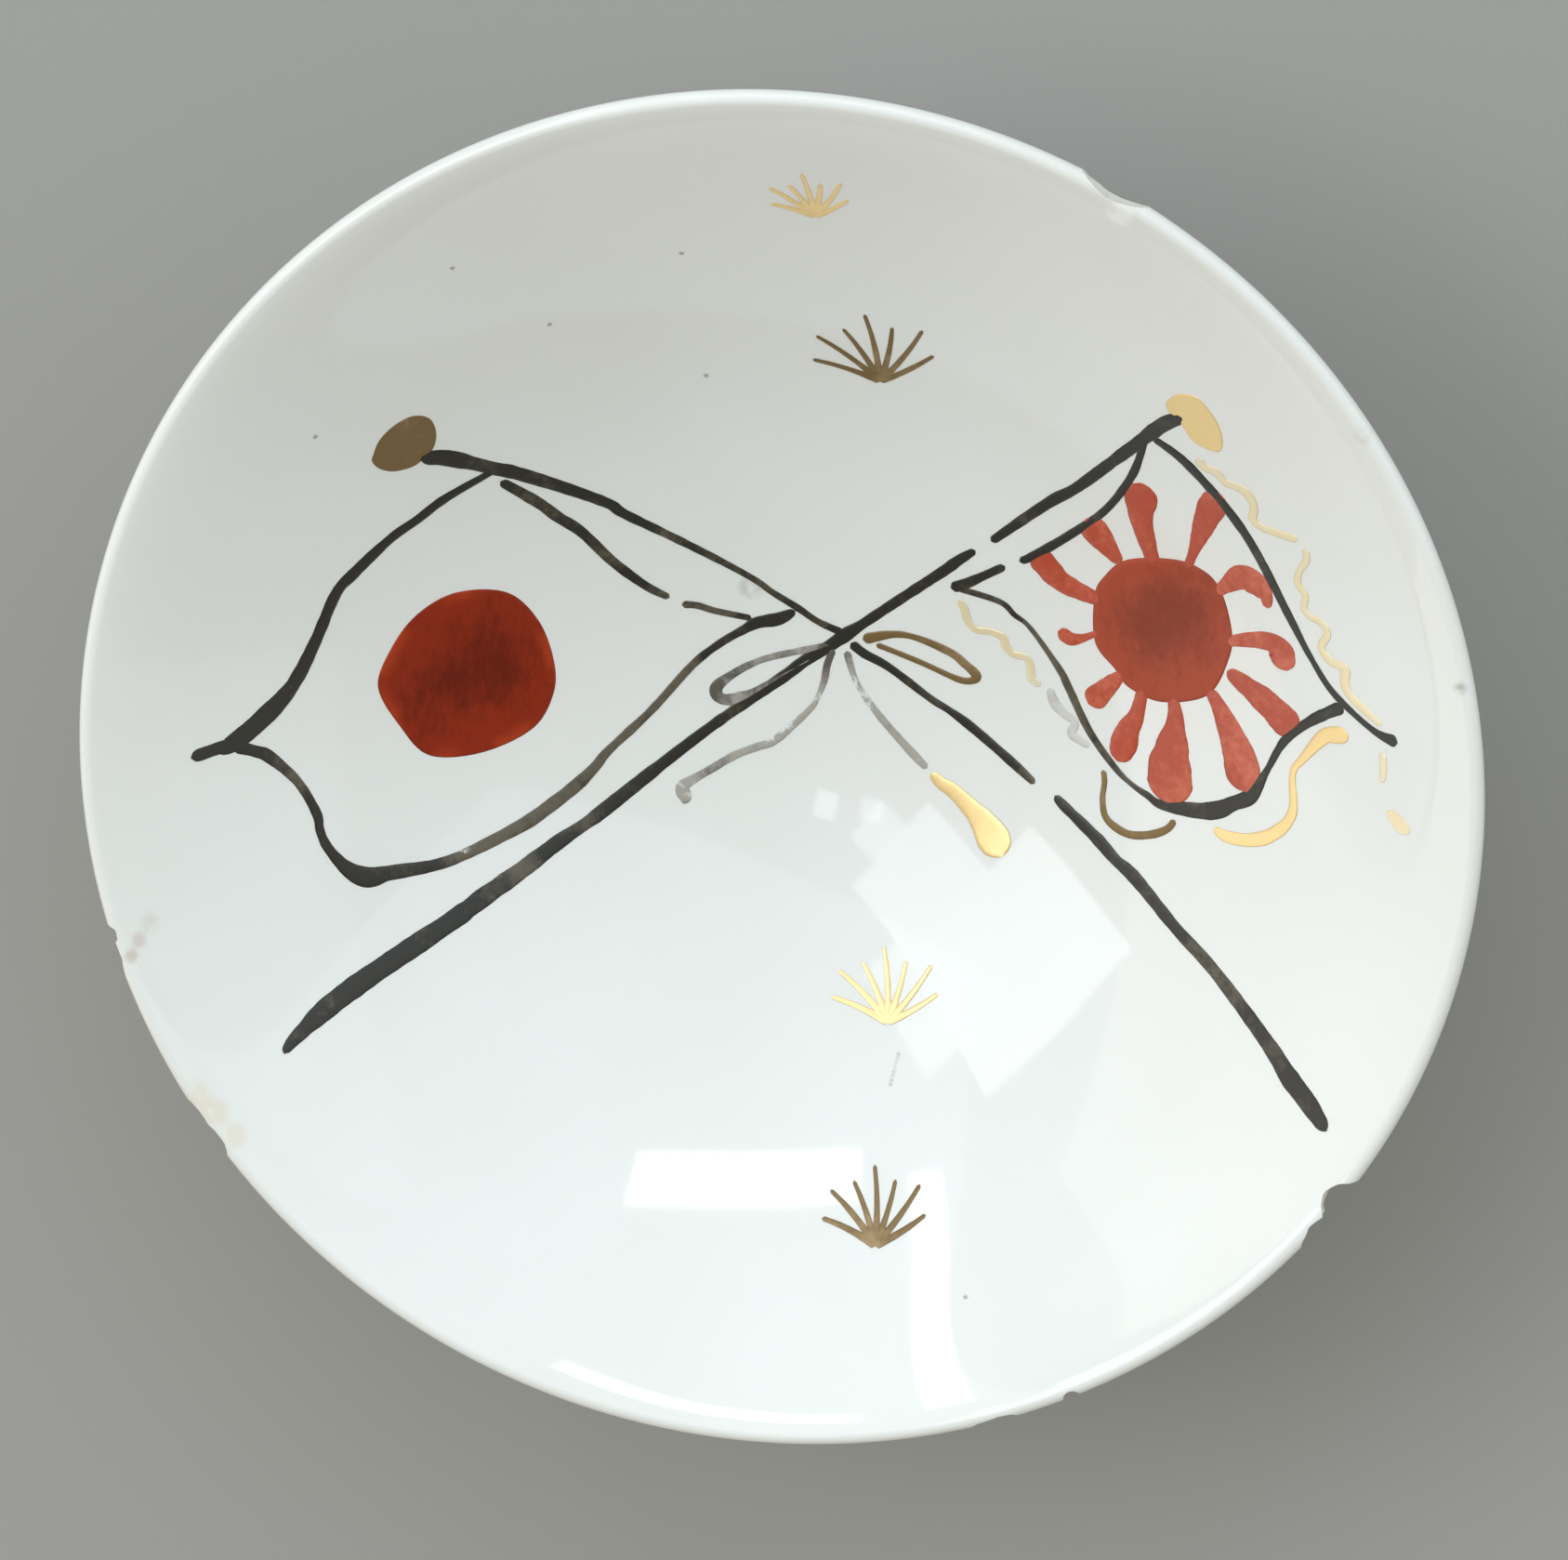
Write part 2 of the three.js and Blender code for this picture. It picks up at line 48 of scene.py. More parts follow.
# The photographer's view: almost straight down into the bowl, 20 degrees off its axis on the
# side that lies up and to the right in the picture. The frame is filled by the rim.
photo_width = 1687
rim_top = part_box("inside_glaze")[1][2]
view_azimuth = math.radians(25.09)  # from +Y towards +X
view_elevation = math.radians(70.05)
view_distance = 450 * MM
focal_in_pixels = 7655
frame_offset = (0.84 * MM, 0.61 * MM)  # of the picture's middle from the middle of the rim

backwards = Vector((
    math.sin(view_azimuth) * math.cos(view_elevation),
    math.cos(view_azimuth) * math.cos(view_elevation),
    math.sin(view_elevation),
))
upwards = (Vector((0, 1, 0)) - backwards * backwards.y).normalized()
sideways = upwards.cross(backwards)
camera_data = bpy.data.cameras.new("photographer")
camera_data.sensor_width = 36
camera_data.lens = camera_data.sensor_width * focal_in_pixels / photo_width
camera_data.clip_start = 0.01
camera_data.clip_end = 20
camera = bpy.data.objects.new("photographer", camera_data)
camera.matrix_world = Matrix((
    (sideways.x, upwards.x, backwards.x, 0),
    (sideways.y, upwards.y, backwards.y, 0),
    (sideways.z, upwards.z, backwards.z, 0),
    (0, 0, 0, 1),
))
camera.location = (
    Vector((0, 0, rim_top))
    + backwards * view_distance
    + sideways * frame_offset[0]
    + upwards * frame_offset[1]
)
scene.collection.objects.link(camera)
scene.camera = camera

# Soft studio light: an even, faintly warm surround, a low light at each side, a large window
# high on the left, in four parts, and two narrow panes behind. The glaze mirrors the window,
# the panes and two small lamps.
surround = bpy.data.worlds.new("surround")
surround.use_nodes = True
surround.node_tree.nodes["Background"].inputs["Color"].default_value = (1.0, 0.95, 0.785, 1)
surround.node_tree.nodes["Background"].inputs["Strength"].default_value = 0.42
scene.world = surround


def softbox(name, azimuth, elevation, size, radiance, colour, distance=1.5, lean=0):
    """An area lamp that faces the bowl, given by the radiance that a mirror in it shows. Its
    place and its lean to one side are in degrees."""
    data = bpy.data.lights.new(name, "AREA")
    data.shape = "RECTANGLE"
    data.size, data.size_y = size
    data.energy = 4 * radiance * size[0] * size[1]
    data.color = colour
    lamp = bpy.data.objects.new(name, data)
    direction = Vector((
        math.cos(math.radians(azimuth)) * math.cos(math.radians(elevation)),
        math.sin(math.radians(azimuth)) * math.cos(math.radians(elevation)),
        math.sin(math.radians(elevation)),
    ))
    lamp.location = Vector((0, 0, rim_top)) + direction * distance
    lamp.rotation_euler = direction.to_track_quat("Z", "Y").to_euler()
    lamp.rotation_euler.rotate_axis("Z", math.radians(lean))
    lamp.visible_camera = False
    scene.collection.objects.link(lamp)


sky = (0.93, 0.975, 1.0)
softbox("open_sky_behind", 70, 42, (4.0, 3.0), 0.72, (0.7, 0.87, 1.0), 2.0)
softbox("low_sky_left", 180, 18, (3.2, 1.2), 0.77, (1.0, 0.99, 0.96), 2.2)
softbox("low_sky_right", 10, 18, (3.2, 1.2), 0.32, (0.94, 0.98, 1.0), 2.2)
softbox("window", 156, 45.5, (0.76, 0.52), 2.35, sky, lean=-15.5)
softbox("window_top", 155.5, 62.6, (0.49, 0.35), 2.1, sky, lean=-15.5)
softbox("window_tip", 163, 71.4, (0.2, 0.15), 1.8, sky, lean=-22)
softbox("window_side", 130.5, 52, (0.17, 0.41), 1.7, sky, lean=4.6)
softbox("pane_behind", 92, 39.4, (0.81, 0.14), 4.0, sky)
softbox("pane_left_behind", 119.2, 27.1, (0.12, 0.45), 4.0, sky, lean=-12.7)
softbox("small_lamp", 167, 80.7, (0.11, 0.09), 2.5, sky)
softbox("smaller_lamp", 172.3, 73.5, (0.09, 0.09), 1.8, sky)

# The table: one plain pale grey sheet, large enough for every view.
table_size = 3.0
table_grey = (0.36, 0.352, 0.34, 1)
table_mesh = bpy.data.meshes.new("table")
reach = table_size / 2
table_mesh.from_pydata(
    [(-reach, -reach, 0), (reach, -reach, 0), (reach, reach, 0), (-reach, reach, 0)],
    [],
    [(0, 1, 2, 3)],
)
table = bpy.data.objects.new("table", table_mesh)
scene.collection.objects.link(table)
table_material = bpy.data.materials.new("matt_grey_card")
table_material.use_nodes = True
table_shader = table_material.node_tree.nodes["Principled BSDF"]
table_shader.inputs["Base Color"].default_value = table_grey
table_shader.inputs["Roughness"].default_value = 0.9
table_shader.inputs["Specular IOR Level"].default_value = 0.2
table_mesh.materials.append(table_material)

# The bowl: one even shell of white porcelain, turned to a shallow curve with an opened-out
# lip, under a clear glossy glaze inside and out. Its inside height is a sum of three powers
# of the radius, the same ones that the carried model is turned to.
rim_radius = 45
cup_height = 30
lip_radius = 0.6
lip_angle = math.radians(33)
lip_power = 24
floor_curve = 44
base_thickness = 2.8
well_depth = 4.8
lip_centre = (rim_radius - lip_radius, cup_height - lip_radius)
mouth_radius = lip_centre[0] - lip_radius * math.sin(lip_angle)
floor_height = well_depth + base_thickness
bowl_depth = lip_centre[1] + lip_radius * math.cos(lip_angle) - floor_height
square_share = mouth_radius**2 / (2 * bowl_depth * floor_curve)
lip_rise = math.tan(lip_angle) * mouth_radius / bowl_depth
flare_share = (lip_rise - 2 * square_share - 4 * (1 - square_share)) / (lip_power - 4)
fourth_share = 1 - square_share - flare_share


def bowl_height(r):
    t = r / mouth_radius
    powers = square_share * t**2 + fourth_share * t**4 + flare_share * t**lip_power
    return floor_height + bowl_depth * powers


def bowl_slope(r):
    t = r / mouth_radius
    rise = 2 * square_share * t + 4 * fourth_share * t**3
    rise += lip_power * flare_share * t ** (lip_power - 1)
    return rise * bowl_depth / mouth_radius


def outside_point(r):
    """The point of the outside that lies square under a point of the inside."""
    share = 1 - (r / mouth_radius) ** 2
    thickness = 2 * lip_radius + (base_thickness - 2 * lip_radius) * share
    angle = math.atan(bowl_slope(r))
    return r + thickness * math.sin(angle), bowl_height(r) - thickness * math.cos(angle)


def turned(name, profile, turns=288):
    """A solid of revolution from a profile of (radius, height) that starts and ends on the axis,
    or closes on itself."""
    shape = bmesh.new()
    closed = profile[0][0] > 0
    rows = []
    for radius, height in profile:
        if radius < 1e-6:
            rows.append([shape.verts.new((0, 0, height * MM))] * turns)
            continue
        rows.append([
            shape.verts.new((
                radius * MM * math.cos(2 * math.pi * i / turns),
                radius * MM * math.sin(2 * math.pi * i / turns),
                height * MM,
            ))
            for i in range(turns)
        ])
    pairs = list(zip(rows, rows[1:]))
    if closed:
        pairs.append((rows[-1], rows[0]))
    for low, high in pairs:
        for i in range(turns):
            j = (i + 1) % turns
            corners = [low[i], low[j], high[j], high[i]]
            shape.faces.new(list(dict.fromkeys(corners)))
    bmesh.ops.recalc_face_normals(shape, faces=shape.faces)
    mesh = bpy.data.meshes.new(name)
    shape.to_mesh(mesh)
    shape.free()
    mesh.polygons.foreach_set("use_smooth", [True] * len(mesh.polygons))
    made = bpy.data.objects.new(name, mesh)
    scene.collection.objects.link(made)
    return made


inside_steps, lip_steps, outside_steps = 72, 14, 60
inside = [
    (mouth_radius * i / inside_steps, bowl_height(mouth_radius * i / inside_steps))
    for i in range(inside_steps)
]
lip_turn = [math.pi / 2 + lip_angle - math.pi * i / lip_steps for i in range(lip_steps + 1)]
lip = [
    (lip_centre[0] + lip_radius * math.cos(a), lip_centre[1] + lip_radius * math.sin(a))
    for a in lip_turn
]
outside = [outside_point(mouth_radius * (1 - i / outside_steps)) for i in range(1, outside_steps)]
under_middle = [(0, well_depth)]
bowl = turned("glazed_bowl", inside + lip + outside + under_middle)


class Shader:
    """A material's node tree, with its shader's sockets and a short way to wire nodes."""

    def __init__(self, name):
        self.material = bpy.data.materials.new(name)
        self.material.use_nodes = True
        self.tree = self.material.node_tree
        self.surface = self.tree.nodes["Principled BSDF"]
        self.place = self.add("ShaderNodeTexCoord").outputs["Object"]

    def add(self, kind, settings=None, **inputs):
        made = self.tree.nodes.new(kind)
        for key, value in (settings or {}).items():
            setattr(made, key, value)
        for key, value in inputs.items():
            self.join(value, made.inputs[key.replace("_", " ")])
        return made

    def join(self, value, socket):
        if isinstance(value, bpy.types.NodeSocket):
            self.tree.links.new(value, socket)
        else:
            socket.default_value = value

    def set(self, **inputs):
        for key, value in inputs.items():
            self.join(value, self.surface.inputs[key.replace("_", " ")])

    def maths(self, operation, *values):
        made = self.tree.nodes.new("ShaderNodeMath")
        made.operation = operation
        for value, socket in zip(values, made.inputs):
            self.join(value, socket)
        return made.outputs[0]

    def cloud(self, scale, detail=3.0, roughness=0.5, place=None):
        made = self.add("ShaderNodeTexNoise", Scale=scale, Detail=detail, Roughness=roughness)
        self.tree.links.new(place or self.place, made.inputs["Vector"])
        return made.outputs["Fac"]

    def ramp(self, value, low, high):
        made = self.add(
            "ShaderNodeMapRange",
            {"interpolation_type": "SMOOTHSTEP"},
            Value=value,
            From_Min=low,
            From_Max=high,
        )
        return made.outputs["Result"]

    def blend(self, share, first, second):
        made = self.tree.nodes.new("ShaderNodeMix")
        made.data_type = "RGBA"
        self.join(share, made.inputs[0])
        self.join(first, made.inputs[6])
        self.join(second, made.inputs[7])
        return made.outputs[2]

    def spot(self, centre, radius, edge):
        """1 inside a small round mark on the surface, 0 outside."""
        apart = self.add("ShaderNodeVectorMath", {"operation": "DISTANCE"})
        self.tree.links.new(self.place, apart.inputs[0])
        apart.inputs[1].default_value = centre
        return self.ramp(apart.outputs["Value"], radius + edge, radius)


def on_bowl(x, y, lift=0.0):
    """A point in metres on the inside of the bowl, over a place in millimetres."""
    r = math.hypot(x, y)
    return Vector((x * MM, y * MM, (bowl_height(min(r, mouth_radius)) + lift) * MM))


glaze_roughness = 0.08
glaze_white = (0.805, 0.81, 0.795, 1)
glaze_milky = (0.83, 0.835, 0.83, 1)
glaze = Shader("clear_glaze_on_porcelain")
tint = glaze.ramp(glaze.cloud(45, 2), 0.35, 0.7)
skin = glaze.blend(tint, glaze_white, glaze_milky)
# Marks in the glaze: a place over the bowl, a radius and a soft edge in millimetres, a
# strength from 0 to 1, and a colour.
speck, smudge, tan = (0.11, 0.1, 0.09, 1), (0.58, 0.44, 0.4, 1), (0.76, 0.67, 0.53, 1)
pinholes = [(-21.1, 31.8), (-16, 26.9), (-7.2, 32.2), (-6.7, 22.6), (-30.5, 20), (12, -36)]
marks = [((x, y), 0.1, 0.12, 0.6, speck) for x, y in pinholes]
scratch_top, scratch_end = Vector((6.1, -23.2)), Vector((5.7, -25.0))
marks += [(scratch_top.lerp(scratch_end, i / 7), 0.06, 0.14, 0.35, speck) for i in range(8)]
marks += [
    ((43.2, 8.7), 0.15, 0.5, 0.7, (0.3, 0.31, 0.26, 1)),
    ((36.8, 24.6), 0.2, 0.6, 0.6, (0.62, 0.6, 0.53, 1)),
    ((-40.9, -11.5), 0.3, 0.7, 0.3, (0.55, 0.53, 0.5, 1)),
    ((-41.5, -12.5), 0.2, 0.6, 0.45, smudge),
    ((-41.9, -13.4), 0.2, 0.5, 0.55, smudge),
    ((-37.8, -22.9), 0.5, 0.9, 0.5, tan),
    ((-36.7, -24.0), 0.5, 0.9, 0.6, tan),
    ((-35.5, -25.6), 0.4, 0.9, 0.5, tan),
    ((-4.7, 6.8), 0.4, 0.7, 0.5, (0.4, 0.4, 0.38, 1)),
    ((21.6, 38.0), 0.6, 0.6, 0.8, (0.95, 0.95, 0.94, 1)),
    ((23.4, 7.4), 7, 4, 0.3, (0.86, 0.77, 0.755, 1)),
]
blotch = glaze.ramp(glaze.cloud(900, 4, 0.6), 0.3, 0.55)
for (x, y), radius, edge, strength, colour in marks:
    mark = glaze.maths("MULTIPLY", glaze.spot(on_bowl(x, y), radius * MM, edge * MM), strength)
    skin = glaze.blend(glaze.maths("MULTIPLY", mark, blotch), skin, colour)
glaze.set(
    Base_Color=skin,
    Roughness=glaze.maths("MULTIPLY_ADD", glaze.cloud(260, 4, 0.6), 0.05, 0.03),
    IOR=1.5,
    Subsurface_Weight=0.12,
    Subsurface_Radius=(1.0, 0.9, 0.7),
    Subsurface_Scale=0.0012,
)
ripple = glaze.add("ShaderNodeBump", Strength=0.12, Distance=0.0004, Height=glaze.cloud(70, 1))
glaze.set(Normal=ripple.outputs["Normal"])
bowl.data.materials.append(glaze.material)

# Chips: small scoops that the lip has lost in use. The break shows the matt body, and it is
# stained where the cup has been handled longest.
broken = Shader("broken_porcelain")
fresh, stained = (0.78, 0.76, 0.71, 1), (0.5, 0.43, 0.34, 1)
dirt = broken.ramp(broken.cloud(700, 5, 0.65), 0.5, 0.72)
broken.set(Base_Color=broken.blend(dirt, fresh, stained), Roughness=0.75)
grit = broken.add("ShaderNodeBump", Strength=0.5, Distance=0.0001, Height=broken.cloud(2600, 4))
broken.set(Normal=grit.outputs["Normal"])
bowl.data.materials.append(broken.material)

# degrees round the lip, depth, radius of the scoop, both in millimetres
chips = [
    (61.7, 0.7, 5),
    (-35.2, 1.25, 2.1),
    (-38.3, 0.65, 3),
    (-64, 0.57, 0.8),
    (-70.9, 0.54, 3),
    (-145, 0.7, 2.4),
    (-147, 0.5, 4.5),
    (-162.6, 0.42, 4),
    (-164.4, 0.62, 0.8),
]
shortest_scoop = 2.4  # half the height of a scoop, so that each goes through the lip
break_roughness = 0.15


def scoop_out(degrees, depth, scoop):
    """Cuts one rough scoop out of the lip, and returns the cutter."""
    around = math.radians(degrees)
    distance = rim_radius - depth + scoop
    centre = Vector((distance * math.cos(around), distance * math.sin(around), lip_centre[1]))
    shape = bmesh.new()
    for vert in bmesh.ops.create_icosphere(shape, subdivisions=4, radius=scoop)["verts"]:
        vert.co *= 1 + noise.fractal(vert.co * 0.9 + centre, 0.8, 2.1, 3) * break_roughness / scoop
        vert.co.z *= max(1, shortest_scoop / scoop)
        vert.co = (centre + vert.co) * MM
    for face in shape.faces:
        face.material_index = 1
    mesh = bpy.data.meshes.new("scoop")
    shape.to_mesh(mesh)
    shape.free()
    mesh.materials.append(glaze.material)
    mesh.materials.append(broken.material)
    cutter = bpy.data.objects.new("scoop", mesh)
    scene.collection.objects.link(cutter)
    cut = bowl.modifiers.new("chip", "BOOLEAN")
    cut.operation = "DIFFERENCE"
    cut.solver = "MANIFOLD"
    cut.object = cutter
    return cutter


def as_plain_mesh(made, name):
    """The evaluated shape of an object, as a new object with no modifiers on it."""
    evaluated = made.evaluated_get(bpy.context.evaluated_depsgraph_get())
    mesh = bpy.data.meshes.new_from_object(evaluated)
    mesh.name = name
    plain = bpy.data.objects.new(name, mesh)
    bpy.data.objects.remove(made)
    plain.name = name
    scene.collection.objects.link(plain)
    return plain


cutters = [scoop_out(*chip) for chip in chips]
bowl = as_plain_mesh(bowl, "glazed_bowl")
for cutter in cutters:
    bpy.data.objects.remove(cutter)

# The glaze breaks off sharply at a chip.
edges = bmesh.new()
edges.from_mesh(bowl.data)
for edge in edges.edges:
    sides = {face.material_index for face in edge.link_faces}
    edge.smooth = len(sides) == 1
edges.to_mesh(bowl.data)
edges.free()
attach(bowl, "root")
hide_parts("bowl_body", "inside_glaze", "outside_glaze", "foot_well_glaze")

# The foot ring: turned from the same clay as the bowl and glazed with it, apart from the
# tread, which is wiped bare so that the cup does not stick in the kiln.
foot_radius, foot_taper, foot_wall = 17, 0.5, 2.8
foot_tread, foot_bevel = 1.9, 0.35
tread_outer = foot_radius - foot_taper - foot_bevel
tread_inner = tread_outer - foot_tread
fillet = 1.2
let_into_bowl = 0.8


def bend(start, corner, end, steps=8):
    """Points of a soft bend between two points, pulled towards a corner."""
    shares = [i / steps for i in range(steps + 1)]
    return [
        tuple(
            a * (1 - s) ** 2 + 2 * b * s * (1 - s) + c * s**2
            for a, b, c in zip(start, corner, end)
        )
        for s in shares
    ]


def underside_at(radius):
    """Height of the bowl's underside over a radius of the foot."""
    low, high = 0.0, float(radius)
    for _ in range(40):
        middle = (low + high) / 2
        if outside_point(middle)[0] < radius:
            low = middle
        else:
            high = middle
    return outside_point(low)[1]


foot_inside = foot_radius - foot_wall
wide, narrow = foot_radius + fillet, foot_inside - fillet
foot_profile = (
    bend((tread_outer, 0), (tread_outer + foot_bevel, 0), (tread_outer + foot_bevel, foot_bevel))
    + bend(
        (foot_radius, underside_at(foot_radius) - fillet),
        (foot_radius, underside_at(foot_radius)),
        (wide, underside_at(wide)),
    )
    + [(wide, underside_at(wide) + let_into_bowl), (narrow, underside_at(narrow) + let_into_bowl)]
    + bend(
        (narrow, underside_at(narrow)),
        (foot_inside, underside_at(foot_inside)),
        (foot_inside, underside_at(foot_inside) - fillet),
    )
    + bend((foot_inside, foot_bevel), (foot_inside, 0), (tread_inner + foot_bevel, 0))
)
foot = turned("glazed_foot_ring", foot_profile)
ring = Shader("foot_glaze_and_bare_tread")
height = ring.add("ShaderNodeSeparateXYZ", Vector=ring.place).outputs["Z"]
edge_line = ring.maths("MULTIPLY_ADD", ring.cloud(500, 3), 0.0003, 0.00035)
bare = ring.ramp(ring.maths("SUBTRACT", height, edge_line), 0.00008, -0.00008)
clay_patches = ring.ramp(ring.cloud(900, 5, 0.6), 0.4, 0.7)
clay = ring.blend(clay_patches, (0.72, 0.68, 0.6, 1), (0.55, 0.47, 0.37, 1))
ring.set(
    Base_Color=ring.blend(bare, glaze_white, clay),
    Roughness=ring.maths("MULTIPLY_ADD", bare, 0.65, glaze_roughness),
    IOR=1.5,
)
foot.data.materials.append(ring.material)
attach(foot, "root")
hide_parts("foot_ring")

# Overglaze enamel: every painted line is a stroke of a loaded brush, laid on the fired glaze
# and fired again, so it stands a little proud and has round ends. The tree lays a stroke
# along any line of points and bends it down onto the bowl. The points of the strokes below
# are places on the photograph, in millimetres as seen from straight above the cup.
enamel_height = 0.055
enamel_sink = 0.05
stroke_step = 0.14
stroke_sides = 16
thinnest, waver_range = 0.82, 0.36  # of the width: where the brush wavers inwards, and how far out
blunt_end = 0.12  # of the width, left at the very tip
crown_power = 0.6  # under 1 it rounds the top of a stroke off flatter than a circle


def tree_maths(tree, operation, *values):
    made = tree.nodes.new("ShaderNodeMath")
    made.operation = operation
    for value, socket in zip(values, made.inputs):
        if isinstance(value, bpy.types.NodeSocket):
            tree.links.new(value, socket)
        else:
            socket.default_value = value
    return made.outputs[0]


def read_number(tree, name):
    made = tree.nodes.new("GeometryNodeInputNamedAttribute")
    made.data_type = "FLOAT"
    made.inputs["Name"].default_value = name
    return made.outputs["Attribute"]


def keep_number(tree, geometry, name, value):
    made = tree.nodes.new("GeometryNodeStoreNamedAttribute")
    made.data_type = "FLOAT"
    made.domain = "POINT"
    made.inputs["Name"].default_value = name
    tree.links.new(geometry, made.inputs["Geometry"])
    tree.links.new(value, made.inputs["Value"])
    return made.outputs["Geometry"]


def laid_on_bowl(tree, geometry, lift):
    """Moves a flat shape's points to the inside of the bowl, with a lift above the glaze."""
    place = tree.nodes.new("GeometryNodeInputPosition").outputs[0]
    split = tree.nodes.new("ShaderNodeSeparateXYZ")
    tree.links.new(place, split.inputs[0])
    across = tree_maths(tree, "MULTIPLY", split.outputs["X"], split.outputs["X"])
    along = tree_maths(tree, "MULTIPLY", split.outputs["Y"], split.outputs["Y"])
    scale = 1 / (mouth_radius * MM) ** 2
    t2 = tree_maths(tree, "MULTIPLY", tree_maths(tree, "ADD", across, along), scale)
    t4 = tree_maths(tree, "MULTIPLY", t2, t2)
    t_lip = tree_maths(tree, "POWER", t2, lip_power / 2)
    total = tree_maths(tree, "MULTIPLY", t2, square_share)
    total = tree_maths(tree, "ADD", total, tree_maths(tree, "MULTIPLY", t4, fourth_share))
    total = tree_maths(tree, "ADD", total, tree_maths(tree, "MULTIPLY", t_lip, flare_share))
    total = tree_maths(tree, "MULTIPLY_ADD", total, bowl_depth * MM, floor_height * MM)
    joined = tree.nodes.new("ShaderNodeCombineXYZ")
    tree.links.new(split.outputs["X"], joined.inputs["X"])
    tree.links.new(split.outputs["Y"], joined.inputs["Y"])
    tree.links.new(tree_maths(tree, "ADD", total, lift), joined.inputs["Z"])
    moved = tree.nodes.new("GeometryNodeSetPosition")
    tree.links.new(geometry, moved.inputs["Geometry"])
    tree.links.new(joined.outputs[0], moved.inputs["Position"])
    return moved.outputs["Geometry"]


def new_tree(name, numbers):
    """A node group with a Geometry in and out, named number inputs and a Material."""
    tree = bpy.data.node_groups.new(name, "GeometryNodeTree")
    face = tree.interface
    face.new_socket("Geometry", in_out="INPUT", socket_type="NodeSocketGeometry")
    for label, value in numbers.items():
        socket = face.new_socket(label, in_out="INPUT", socket_type="NodeSocketFloat")
        socket.default_value = value
    face.new_socket("Material", in_out="INPUT", socket_type="NodeSocketMaterial")
    face.new_socket("Geometry", in_out="OUTPUT", socket_type="NodeSocketGeometry")
    return tree, tree.nodes.new("NodeGroupInput"), tree.nodes.new("NodeGroupOutput")


def brush_tree():
    tree, given, result = new_tree("brush_stroke", {"Height": 0.0, "Sink": 0.0, "Step": 0.001})
    link = tree.links.new
    line = tree.nodes.new("GeometryNodeMeshToCurve")
    link(given.outputs["Geometry"], line.inputs["Mesh"])
    smooth = tree.nodes.new("GeometryNodeCurveSplineType")
    smooth.spline_type = "CATMULL_ROM"
    link(line.outputs["Curve"], smooth.inputs["Curve"])
    even = tree.nodes.new("GeometryNodeResampleCurve")
    even.mode = "LENGTH"
    link(smooth.outputs["Curve"], even.inputs["Curve"])
    link(given.outputs["Step"], even.inputs["Length"])
    # A brush wavers a little, and each end is round.
    waver = tree.nodes.new("ShaderNodeTexNoise")
    waver.inputs["Scale"].default_value = 900
    waver.inputs["Detail"].default_value = 2
    share = tree_maths(tree, "MULTIPLY_ADD", waver.outputs["Fac"], waver_range, thinnest)
    width = tree_maths(tree, "MULTIPLY", read_number(tree, "brush_width"), share)
    half = tree_maths(tree, "MULTIPLY", width, 0.5)
    gone = tree.nodes.new("GeometryNodeSplineParameter").outputs["Length"]
    whole = tree.nodes.new("GeometryNodeSplineLength").outputs["Length"]
    left = tree_maths(tree, "SUBTRACT", whole, gone)
    to_end = tree_maths(tree, "DIVIDE", tree_maths(tree, "MINIMUM", gone, left), half)
    inward = tree_maths(tree, "SUBTRACT", 1, tree_maths(tree, "MINIMUM", to_end, 1))
    bulge = tree_maths(tree, "SUBTRACT", 1, tree_maths(tree, "MULTIPLY", inward, inward))
    round_end = tree_maths(tree, "MAXIMUM", tree_maths(tree, "SQRT", bulge), blunt_end)
    cyclic = tree.nodes.new("GeometryNodeInputSplineCyclic").outputs[0]
    taper = tree_maths(tree, "MAXIMUM", round_end, cyclic)
    flat = tree.nodes.new("GeometryNodeSetCurveNormal")
    flat.mode = "Z_UP"
    link(even.outputs["Curve"], flat.inputs["Curve"])
    section = tree.nodes.new("GeometryNodeCurvePrimitiveCircle")
    section.inputs["Resolution"].default_value = stroke_sides
    section.inputs["Radius"].default_value = 0.5
    middle = tree.nodes.new("GeometryNodeInputPosition").outputs[0]
    parts = tree.nodes.new("ShaderNodeSeparateXYZ")
    link(middle, parts.inputs[0])
    up = tree_maths(tree, "MULTIPLY", parts.outputs["Y"], 2)
    outline = keep_number(tree, section.outputs["Curve"], "rise", up)
    swept = tree.nodes.new("GeometryNodeCurveToMesh")
    swept.inputs["Fill Caps"].default_value = True
    link(tree_maths(tree, "MULTIPLY", width, taper), swept.inputs["Scale"])
    link(flat.outputs["Curve"], swept.inputs["Curve"])
    link(outline, swept.inputs["Profile Curve"])
    rise = read_number(tree, "rise")
    crown = tree_maths(tree, "POWER", tree_maths(tree, "MAXIMUM", rise, 0), crown_power)
    above = tree_maths(tree, "MULTIPLY", crown, given.outputs["Height"])
    below = tree_maths(tree, "MAXIMUM", tree_maths(tree, "MULTIPLY", rise, -1), 0)
    under = tree_maths(tree, "MULTIPLY", below, given.outputs["Sink"])
    lift = tree_maths(tree, "SUBTRACT", above, under)
    draped = laid_on_bowl(tree, swept.outputs["Mesh"], lift)
    soft = tree.nodes.new("GeometryNodeSetShadeSmooth")
    link(draped, soft.inputs["Geometry"])
    real = tree.nodes.new("GeometryNodeRealizeInstances")
    link(soft.outputs["Geometry"], real.inputs["Geometry"])
    coated = tree.nodes.new("GeometryNodeSetMaterial")
    link(real.outputs["Geometry"], coated.inputs["Geometry"])
    link(given.outputs["Material"], coated.inputs["Material"])
    link(coated.outputs["Geometry"], result.inputs["Geometry"])
    return tree


brush = brush_tree()


